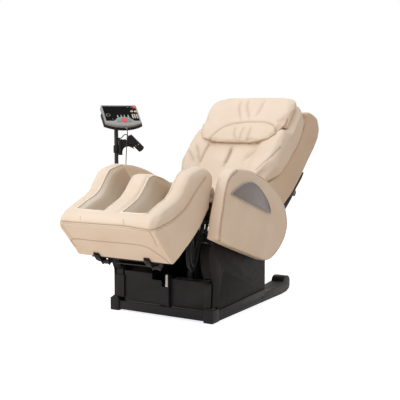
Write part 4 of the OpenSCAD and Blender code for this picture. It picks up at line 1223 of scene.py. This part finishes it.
# --- Base ---------------------------------------------------------------------------------
@dataclass
class Base:
    """Skids, covers, floor frame and the machinery inside the base."""

    finishes: Finishes
    strips: tuple[Point, ...] = ((-105.0, 202.0, -445.6), (-105.0, 202.0, -437.6),
                                 (156.5, 185.0, -445.6), (156.5, 185.0, -437.6))
    strip_z: float = 56.4
    strip_section: Flat = (3.0, 1.2)
    tab_centre: Point = (33.0, -438.0, 183.0)
    tab_size: Point = (16.0, 3.0, 62.0)
    cap_centre: Point = (281.0, -433.5, 69.5)
    cap_size: Point = (42.0, 42.0, 13.0)
    filter_centre: Point = (0.0, 127.5, 215.0)
    filter_size: Point = (248.0, 2.4, 100.0)
    edges: dict[str, float] = field(default_factory=lambda: {
        "skids": 0.005, "front_cover": 0.0022, "side_panels": 0.003, "corner_feet": 0.004,
        "rear_cover": 0.002, "stand_bracket": 0.003, "power_unit": 0.002, "air_pump": 0.004})

    def build(self) -> None:
        """Builds the base."""
        f = self.finishes
        looks = {"side_panels": (f.charcoal, "charcoal_plastic"),
                 "power_unit": (f.machine, "machine_black"), "air_pump": (f.machine, "machine_black")}
        for node, edge in self.edges.items():
            finish, slot = looks.get(node, (f.black, "black_plastic"))
            moulded(node, node + "_moulded", finish, "base", edge)
        moulded("power_switch", "power_rocker", f.black, "switch", edge=0.001)
        paint("floor_frame", f.coated)
        paint("cover_screws", f.coated)
        strips = [block(f"front_ridge_{number}", Frame.ROW, (middle, y, self.strip_z),
                        (length, *self.strip_section), rounding=0.45)
                  for number, (middle, length, y) in enumerate(self.strips)]
        self.fit(joined("front_rail_ridges", strips), f.ridge)
        self.fit(block("front_tab", Frame.ROW, self.tab_centre, self.tab_size, rounding=1.2,
                       taper=(0.72, 1.0, 1.0)), f.pale)
        x, y, z = self.cap_centre
        for side, sign in (("left", 1), ("right", -1)):
            self.fit(block(f"{side}_foot_cap", Frame.ROW, (sign * x, y, z), self.cap_size, rounding=5.0,
                           taper=(0.82, 0.82, 1.0), segments=3), f.black)
        self.fit(block("vent_filter", Frame.ROW, self.filter_centre, self.filter_size, rounding=0.8),
                 f.filter)

    def fit(self, piece: bpy.types.Object, finish: bpy.types.Material) -> None:
        """Dresses a small moulding that stays with the base."""
        dress(piece, finish, "base", hard=True)


# --- Seat ---------------------------------------------------------------------------------
@dataclass
class Seat:
    """Seat cushion, knee roll, armrests and steelwork that tilt together."""

    finishes: Finishes
    arm_outer: float = 380.0
    band: tuple[Point, ...] = (
        (368, -330, 752), (379, -341, 741), (380, -409, 712), (379, -446, 662), (378, -475, 567),
        (378, -498, 495), (378, -508, 431), (376, -500, 392))
    border_middle: Flat = (-210.0, 200.0)
    border_scale: float = 0.95
    band_seam: Seam = Seam(0.0024, 0.004, 0.4, 0.0013)
    band_shadow: Seam = Seam(0.001, 0.003, 0.2, 0.0006)
    shadow_shift: Flat = (-10, -5)
    border_seam: Seam = Seam(0.0016, 0.004, 0.3, 0.001)
    rim_radius: float = 0.0017
    rim_out: float = 5.0
    outline: tuple[Flat, ...] = (
        (45, 42), (107, 101), (150, 169), (158, 241), (139, 276), (85, 335), (-16, 376), (-128, 399),
        (-212, 410), (-307, 409))
    plate: tuple[Flat, ...] = (
        (-531, 241), (-512, 236), (-330, 238), (-111, 243), (-93, 250), (-95, 266), (-118, 288),
        (-150, 307), (-176, 318), (-230, 337), (-285, 348), (-330, 350), (-366, 344), (-410, 328),
        (-451, 305), (-490, 277), (-525, 250))

    def build(self) -> None:
        """Builds the seat."""
        f = self.finishes
        cushion = Upholstery("seat_cushion", "seat_pad", voxel=0.008, smooth=6)
        cushion.swell(pressure=4.0, cap=0.012)
        cushion.finish("seat", f.hide, "hide", fill=0.7)
        roll = Upholstery("knee_roll", "knee_bolster", voxel=0.006, smooth=4)
        roll.swell(pressure=3.0, cap=0.006)
        roll.finish("seat", f.lining, "lining", fill=0.7)
        for side, sign in (("left", 1), ("right", -1)):
            self.armrest(side, sign)
            self.insert_rim(side, sign)
        paint("seat_frame", f.coated)
        for node in ("leg_actuator", "back_actuator"):
            moulded(node, node + "_housing", f.machine, "seat", edge=0.002)
        moulded("arm_inserts", "arm_plates", f.insert, "seat")

    def armrest(self, side: str, sign: int) -> None:
        """Builds one armrest with its front band and border seams.

        Args:
            side: Its side of the sitter.
            sign: 1 on the sitter's left, -1 on the right.
        """
        rest = Upholstery(f"{side}_armrest", f"{side}_arm_pad", voxel=0.0075, smooth=8)
        rest.sew([(sign * x, y, z) for x, y, z in self.band], self.band_seam)
        back, down = self.shadow_shift
        rest.sew([(sign * x, y + back, z + down) for x, y, z in self.band], self.band_shadow)
        (middle_y, middle_z), scale = self.border_middle, self.border_scale
        border = [Frame.SEAT.world(sign * self.arm_outer, middle_y + (y - middle_y) * scale,
                                   middle_z + (z - middle_z) * scale) / MM for y, z in self.outline]
        rest.sew(border, self.border_seam)
        rest.finish("seat", self.finishes.hide, "hide", fill=0.9, thread=self.finishes.seam)

    def insert_rim(self, side: str, sign: int) -> None:
        """Lays the pale rim round one hand plate, a painted highlight along its edge.

        Args:
            side: Its side of the sitter.
            sign: 1 on the sitter's left, -1 on the right.
        """
        corners = [Frame.SEAT.world(sign * (self.arm_outer + self.rim_out), y, z) for y, z in self.plate]
        line = curve_through([*corners, corners[0]], LINE_STEP)[:-1]
        rim = tube(f"{side}_plate_rim", line, self.rim_radius, sides=2, closed=True)
        # pale rim: painted highlight on the plate's edge
        dress(rim, self.finishes.rim_highlight, "seat")


# --- Back ---------------------------------------------------------------------------------
@dataclass
class Back:
    """Outer cover, pad, pillow and rear shell of the reclining back."""

    finishes: Finishes
    half_moon: tuple[Point, ...] = (
        (-155, 312, 862), (-134, 345, 900), (-101, 377, 931), (-54, 396, 950), (-1, 404, 959),
        (53, 410, 963), (108, 411, 963), (165, 409, 961), (212, 396, 946), (252, 369, 916))
    half_moon_seam: Seam = Seam(0.006, 0.008, 0.3, 0.001)
    pillow_face: float = -148.0
    pillow_edge: tuple[Flat, ...] = (
        (-290, 690), (-284, 632), (-261, 556), (-220, 504), (-174, 484), (-101, 470), (0, 466),
        (101, 470), (174, 484), (220, 504), (261, 556), (284, 632), (290, 690))
    edge_piping: Seam = Seam(0.002, 0.005, 0.35, 0.0018)
    edge_shadow: Seam = Seam(0.001, 0.004, 0.2, 0.0012)
    shadow_drop: float = 9.0
    pillow_fold: Fold = Fold(0.0035, 0.008, 0.3)
    pillow_folds: tuple[tuple[Point, ...], ...] = (
        ((-68, 547, 1085), (-58, 499, 1045), (-8, 419, 972)),
        ((-26, 552, 1090), (-4, 498, 1045), (53, 420, 972)),
        ((86, 546, 1084), (84, 487, 1033), (81, 444, 994)),
        ((-15, 378, 933), (-4, 334, 891), (34, 307, 859)),
        ((38, 385, 939), (39, 335, 891), (47, 306, 857)),
        ((84, 380, 934), (88, 336, 892), (92, 307, 858)))
    pad_folds: tuple[tuple[tuple[Point, ...], Fold], ...] = (
        (((-8, 315, 819), (0, 272, 778), (0, 206, 716)), Fold(0.009, 0.009, 0.8)),
        (((187, 297, 824), (165, 272, 788), (130, 223, 730)), Fold(-0.004, 0.014, 0.0)),
        (((126, 314, 816), (103, 273, 786), (75, 254, 769)), Fold(-0.003, 0.012, 0.0)),
        (((160, 305, 818), (137, 272, 787), (104, 236, 748)), Fold(0.003, 0.010, 0.25)),
        (((-265, 266, 799), (-225, 232, 768), (-193, 202, 737)), Fold(0.004, 0.009, 0.35)),
        (((-234, 301, 832), (-195, 252, 785), (-169, 214, 738)), Fold(0.004, 0.010, 0.35)))
    pad_seam: Seam = Seam(0.003, 0.006, 0.3, 0.001)
    pad_seams: tuple[tuple[Point, ...], ...] = (
        ((-166, 318, 832), (-167, 266, 785), (-165, 218, 737)),
        ((295, 320, 831), (276, 251, 786), (226, 164, 705)))
    pad_held: Flat = (92.0, 124.0)

    def build(self) -> None:
        """Builds the back."""
        f = self.finishes
        cover = Upholstery("back_cover", "back_wrap", voxel=0.008, smooth=18)
        # The back cover wears the darker copy of the hide, painted shade on its sides.
        cover.finish("back", f.wrap, "hide", fill=0.9)
        self.pad()
        self.pillow()
        moulded("rear_shell", "rear_shell_moulded", f.shell, "back")
        paint("back_frame", f.coated)
        paint("lift_motor", f.machine)

    def pad(self) -> None:
        """Builds the loose pad with its long folds and side seams."""
        pad = Upholstery("back_pad", "back_cushion", voxel=0.0075, smooth=7)
        pad.swell(pressure=3.0, cap=0.012, free=self.front_side)
        for points, fold in self.pad_folds:
            pad.fold(points, fold)
        for points in self.pad_seams:
            pad.sew(points, self.pad_seam)
        pad.finish("back", self.finishes.hide, "hide", fill=0.6, thread=self.finishes.seam)

    def front_side(self, points: np.ndarray) -> np.ndarray:
        """Holds the pad's rear face, which the massage rollers pass behind."""
        return smooth_step(-Frame.BACK.local(points)[:, 1], *self.pad_held)

    def pillow(self) -> None:
        """Builds the head pillow: a raised half moon, gathers and a piped lower edge."""
        pillow = Upholstery("head_pillow", "head_cushion", voxel=0.006, smooth=7)
        pillow.swell(pressure=4.0, cap=0.012)
        pillow.sew(self.half_moon, self.half_moon_seam)
        for points in self.pillow_folds:
            pillow.fold(points, self.pillow_fold)
        edge = [Frame.BACK.world(x, self.pillow_face, z) / MM for x, z in self.pillow_edge]
        pillow.sew(edge, self.edge_piping)
        pillow.sew([(x, y, z - self.shadow_drop) for x, y, z in edge], self.edge_shadow)
        pillow.finish("back", self.finishes.hide, "hide", fill=0.6, thread=self.finishes.piping)


@dataclass
class MassageUnit:
    """Carriage, screw, rocking arms and rollers."""

    finishes: Finishes

    def build(self) -> None:
        """Builds the massage unit."""
        f = self.finishes
        moulded("massage_carriage", "carriage_casting", f.machine, "carriage")
        paint("lift_screw", f.bright)
        for side in ("left", "right"):
            paint(f"{side}_massage_arm", f.machine)
            for level in ("upper", "lower"):
                node = f"{side}_{level}_roller"
                moulded(node, node + "_tyre", f.roller, node, edge=0.002)


# --- Calf and foot rest -------------------------------------------------------------------
@dataclass
class LegRest:
    """Padded cover, trough linings, tray and swing frame of the calf and foot rest."""

    finishes: Finishes
    bracket_x: Flat = (-148.0, 142.0)
    bracket_size: Point = (32.0, 46.0, 8.0)
    bracket_place: Flat = (-9.0, -9.0)
    eye_shift: Point = (1.0, -14.0, -13.0)
    eye_radius: float = 9.0
    eye_section: float = 3.2
    cell_points: int = 7
    cell_drop: float = 48.0
    cell_ahead: float = 12.0
    cell: Fold = Fold(-0.008, 0.026, 0.0)
    divider_side: float = 52.0
    wall_side: float = 203.0
    piping_radius: float = 0.0034
    piping_height: float = 0.0018
    piping_inner: Flat = (50, 10)
    piping_outer: Flat = (201, 4)
    piping_front: Flat = (248, 84)
    piping_front_x: tuple[float, ...] = (66, 92, 126, 160, 186)
    lining_across: tuple[Flat, Flat] = ((40.0, 46.0), (201.0, 205.0))
    lining_along: Flat = (86.0, 91.0)
    lining_rim: Flat = (250.0, 256.0)
    knee_along: Flat = (230.0, 420.0)
    top_seam: tuple[Point, ...] = (
        (-262, -885, 520), (-250, -903, 518), (-166, -905, 518), (-71, -906, 519), (21, -906, 520),
        (112, -906, 521), (187, -905, 515), (249, -903, 511), (275, -848, 523), (277, -764, 540),
        (278, -703, 563), (280, -659, 584), (281, -614, 617), (283, -568, 657), (285, -526, 687),
        (286, -484, 717))
    edge_seam: Seam = Seam(0.0028, 0.004, 0.4, 0.0013)
    edge_shadow: Seam = Seam(0.0008, 0.003, 0.15, 0.0005)
    shadow_shift: Flat = (4, -8)
    arch: tuple[Point, ...] = (
        (-252, -796, 381), (-259, -806, 395), (-256, -822, 414), (-247, -828, 422), (-217, -832, 427),
        (-119, -831, 426), (-24, -832, 427), (69, -833, 428), (146, -831, 426), (187, -822, 416),
        (214, -802, 393), (243, -776, 365), (256, -753, 339))
    arch_seam: Seam = Seam(0.002, 0.004, 0.35, 0.0012)
    corner: tuple[Point, ...] = ((249, -902, 508), (247, -872, 472), (243, -836, 432))
    corner_seam: Seam = Seam(0.0016, 0.0035, 0.25, 0.0008)
    darts: tuple[tuple[Point, ...], ...] = (
        ((-143, -893, 548), (-137, -900, 538), (-134, -903, 529)),
        ((103, -893, 548), (109, -901, 535), (113, -906, 521)))
    dart_seam: Seam = Seam(0.0012, 0.003, 0.2, 0.0006)
    wall_crest: tuple[Flat, ...] = (
        (84, 249), (130, 234), (180, 214), (220, 196), (271, 188), (330, 197), (377, 202), (405, 194),
        (442, 172), (474, 152), (488, 140))
    divider_crest: tuple[Flat, ...] = (
        (88, 246), (130, 230), (180, 211), (220, 198), (271, 194), (330, 200), (361, 199), (390, 180),
        (420, 142), (442, 106), (460, 60))

    def build(self) -> None:
        """Builds the rest."""
        f = self.finishes
        cover = Upholstery("leg_cover", "leg_rest_cover", voxel=0.0068, smooth=9)
        self.line_troughs(cover)
        self.seams(cover)
        self.fill_walls(cover)
        cover.finish("leg_rest", f.hide, "hide", fill=0.8, thread=f.seam)
        self.rim_piping(cover)
        pads = Upholstery("trough_linings", "trough_pads", voxel=0.005, smooth=4)
        pads.swell(pressure=3.0, cap=0.004)
        pads.finish("leg_rest", f.lining, "lining", fill=0.6)
        moulded("leg_tray", "leg_tray_moulded", f.black, "leg_rest")
        self.heel_brackets()
        # The leg rod takes the dark coated finish rather than drawn steel: painted shade where it lies in
        # the base.
        looks = {"leg_swing_frame": f.coated, "floor_rollers": f.hose, "leg_rod": f.coated,
                 "tilt_rod": f.coated, "back_rod": f.bright}
        for node, finish in looks.items():
            paint(node, finish)
        moulded("tilt_actuator", "tilt_actuator_housing", f.machine, "tilt_actuator",
                edge=0.002)

    def heel_brackets(self) -> None:
        """Thickens the two roller brackets into rounded mouldings with a rimmed eye."""
        parts = []
        for x in self.bracket_x:
            parts.append(block(f"bracket_{x:.0f}", Frame.REST, (x, *self.bracket_place), self.bracket_size,
                               rounding=3.6, taper=(0.86, 0.86, 1.0), segments=3))
            eye = ring("eye", self.eye_radius, self.eye_section, (28, 10), squash=(1.0, 1.25, 0.8))
            across, *place = self.eye_shift
            parts.append(placed(eye, Frame.REST, (x + across, *place)))
        dress(joined("heel_brackets", parts), self.finishes.black, "leg_rest", hard=True)

    def line_troughs(self, cover: Upholstery) -> None:
        """Marks the knit lining on the inner faces of the troughs, darker towards the knee: partly the calf
        faces' beige, partly painted shade.

        Args:
            cover: The rest's cover.
        """
        local = Frame.REST.local(rows_of(cover.piece))
        across, height, along = np.abs(local[:, 0]), -local[:, 1], local[:, 2]
        divider, wall = self.lining_across
        inside = smooth_step(across, *divider) * (1 - smooth_step(across, *wall))
        inside *= smooth_step(along, *self.lining_along)
        put_mark(cover.piece, "lining", inside * (1 - smooth_step(height, *self.lining_rim)))
        # darker towards the knee: partly the calf faces' beige, partly painted shade
        put_mark(cover.piece, "knee", smooth_step(along, *self.knee_along))

    def fill_walls(self, cover: Upholstery) -> None:
        """Rounds the air cells out of the trough walls, under their rims.

        Args:
            cover: The rest's cover.
        """
        for sign in (1, -1):
            for x, crest in ((self.divider_side, self.divider_crest), (self.wall_side, self.wall_crest)):
                line = [Frame.REST.world(sign * x, self.cell_drop - height, along + self.cell_ahead) / MM
                        for along, height in crest[:self.cell_points]]
                cover.crease(cover.line(line), self.cell)

    def seams(self, cover: Upholstery) -> None:
        """Sews the top, arch, corner and dart seams on both sides.

        Args:
            cover: The rest's cover.
        """
        cover.sew(self.top_seam, self.edge_seam)
        back, down = self.shadow_shift
        cover.sew([(x, y + back, z + down) for x, y, z in self.top_seam], self.edge_shadow)
        cover.sew(self.arch, self.arch_seam)
        cover.sew(self.corner, self.corner_seam)
        far_side = [(-x, y, z) for x, y, z in self.top_seam if x > self.corner[0][0]]
        cover.sew([self.top_seam[0], *far_side], self.edge_seam)
        cover.sew([(-x, y, z) for x, y, z in self.corner], self.corner_seam)
        for dart in self.darts:
            cover.sew(dart, self.dart_seam)

    def rim_piping(self, cover: Upholstery) -> None:
        """Lays the cream piping round each trough, one U per trough.

        Args:
            cover: The rest's cover.
        """
        tree = tree_of(cover.piece)
        pipes = []
        for sign in (1, -1):
            (x, drop), (wall_x, wall_drop) = self.piping_inner, self.piping_outer
            inner = [(sign * x, height - drop, along) for along, height in reversed(self.divider_crest)]
            outer = [(sign * wall_x, height - wall_drop, along) for along, height in self.wall_crest]
            front = [(sign * x, *self.piping_front) for x in self.piping_front_x]
            rough = [Frame.REST.world(x, -height, along) for x, height, along in (*inner, *front, *outer)]
            laid = laid_on(tree, curve_through(rough, LINE_STEP), self.piping_height)
            pipes.append(tube(f"rim_{sign}", laid, self.piping_radius, sides=2))
        dress(joined("trough_piping", pipes), self.finishes.welt, "leg_rest")


# --- Control stand ------------------------------------------------------------------------
@dataclass
class ControlStand:
    """Post, panel with its keys, and the clipped-on sensor grip."""

    finishes: Finishes
    face_y: float = -0.1
    relief: float = 0.5
    dial_place: Flat = (-73.0, -20.0)
    dial_radius: float = 10.5
    dial_section: float = 0.9
    figure_x: tuple[float, ...] = (-22.5, -3.0, 15.0, 36.5)
    head_z: float = -21.5
    head_radius: float = 2.6
    bar_z: float = -32.5
    bar_size: Flat = (5.2, 13.0)
    dashes: tuple[Flat, ...] = ((50.0, 42.0), (69.0, 42.0), (71.0, 20.0))
    dash_size: Flat = (7.0, 2.0)
    dots: tuple[Flat, ...] = ((-56.0, -51.0), (-53.0, -62.0))
    dot_radius: float = 1.4
    grip_face: float = -18.2
    slit_x: float = -1.0
    slit_z: tuple[float, ...] = (-12.0, -9.0, -6.0)
    slit_size: Flat = (36.0, 1.3)
    grip_dot: Flat = (17.0, 9.0)

    def build(self) -> None:
        """Builds the stand."""
        f = self.finishes
        paint("stand_post", f.coated)
        moulded("sensor_holder", "grip_holder", f.black, "stand")
        moulded("sensor_grip", "sensor_handset", f.black, "grip", edge=0.006, segments=3)
        moulded("panel_cradle", "panel_tray", f.black, "cradle", edge=0.0018)
        moulded("control_panel", "panel_body", f.silver, "cradle", edge=0.0012)
        paint("panel_glass", f.glossy)
        keys = {"power_key": f.red, "stop_key": f.red, "left_green_key": f.green,
                "right_green_key": f.green, "white_key": f.white, "orange_key": f.orange,
                "left_rocker_key": f.white, "middle_rocker_key": f.white, "right_rocker_key": f.white}
        for node, finish in keys.items():
            paint(node, finish)
        self.dial()
        self.prints()
        self.grip_marks()

    def dial(self) -> None:
        """Lays the round dial's ring on the dark face."""
        dial = ring("panel_dial", self.dial_radius, self.dial_section, (48, 8), squash=(1.0, 1.0, 0.5))
        dial.data.transform(FACING)
        x, z = self.dial_place
        placed(dial, Frame.PANEL, (x, self.face_y, z))
        dress(dial, self.finishes.print, "cradle", hard=True)

    def bar(self, name: str, place: Flat, size: Flat, taper: float = 1.0) -> bpy.types.Object:
        """A thin bar on the dark face.

        Args:
            name: Its name.
            place: Its middle across and up the face, in millimetres.
            size: Its sides across and up the face, in millimetres.
            taper: How much wider its top is.

        Returns:
            The bar.
        """
        (x, z), (width, height) = place, size
        return block(name, Frame.PANEL, (x, self.face_y, z), (width, self.relief, height), rounding=0.2,
                     taper=(taper, 1.0, 1.0))

    def prints(self) -> None:
        """Lays the plain figures and dashes of the dark face."""
        marks = []
        for number, x in enumerate(self.figure_x):
            marks.append(disc(f"figure_head_{number}", Frame.PANEL, (x, self.face_y, self.head_z),
                              self.head_radius, self.relief))
            marks.append(self.bar(f"figure_bar_{number}", (x, self.bar_z), self.bar_size, taper=1.5))
        for number, place in enumerate(self.dashes):
            marks.append(self.bar(f"dash_{number}", place, self.dash_size))
        for number, (x, z) in enumerate(self.dots):
            marks.append(disc(f"dot_{number}", Frame.PANEL, (x, self.face_y, z), self.dot_radius,
                              self.relief))
        dress(joined("panel_figures", marks), self.finishes.print, "cradle", hard=True)

    def grip_marks(self) -> None:
        """Lays the three slits and the pale dot on the sensor grip."""
        f, (length, width) = self.finishes, self.slit_size
        slits = [block(f"slit_{number}", Frame.GRIP, (self.slit_x, self.grip_face, z),
                       (length, self.relief, width), rounding=0.2) for number, z in enumerate(self.slit_z)]
        dress(joined("grip_slits", slits), f.silver, "grip", hard=True)
        x, z = self.grip_dot
        dot = disc("grip_dot", Frame.GRIP, (x, self.grip_face, z), radius=2.0, height=0.6)
        dress(dot, f.pale, "grip", hard=True)


def main() -> None:
    """Builds the scene in order."""
    logging.basicConfig(level=logging.INFO, format="%(message)s")
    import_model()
    finishes = Finishes()
    Studio().build()
    for part in (Cords, Base, Seat, Back, MassageUnit, LegRest, ControlStand):
        log.info("building %s", part.__name__)
        part(finishes).build()


if __name__ == "__main__":
    main()
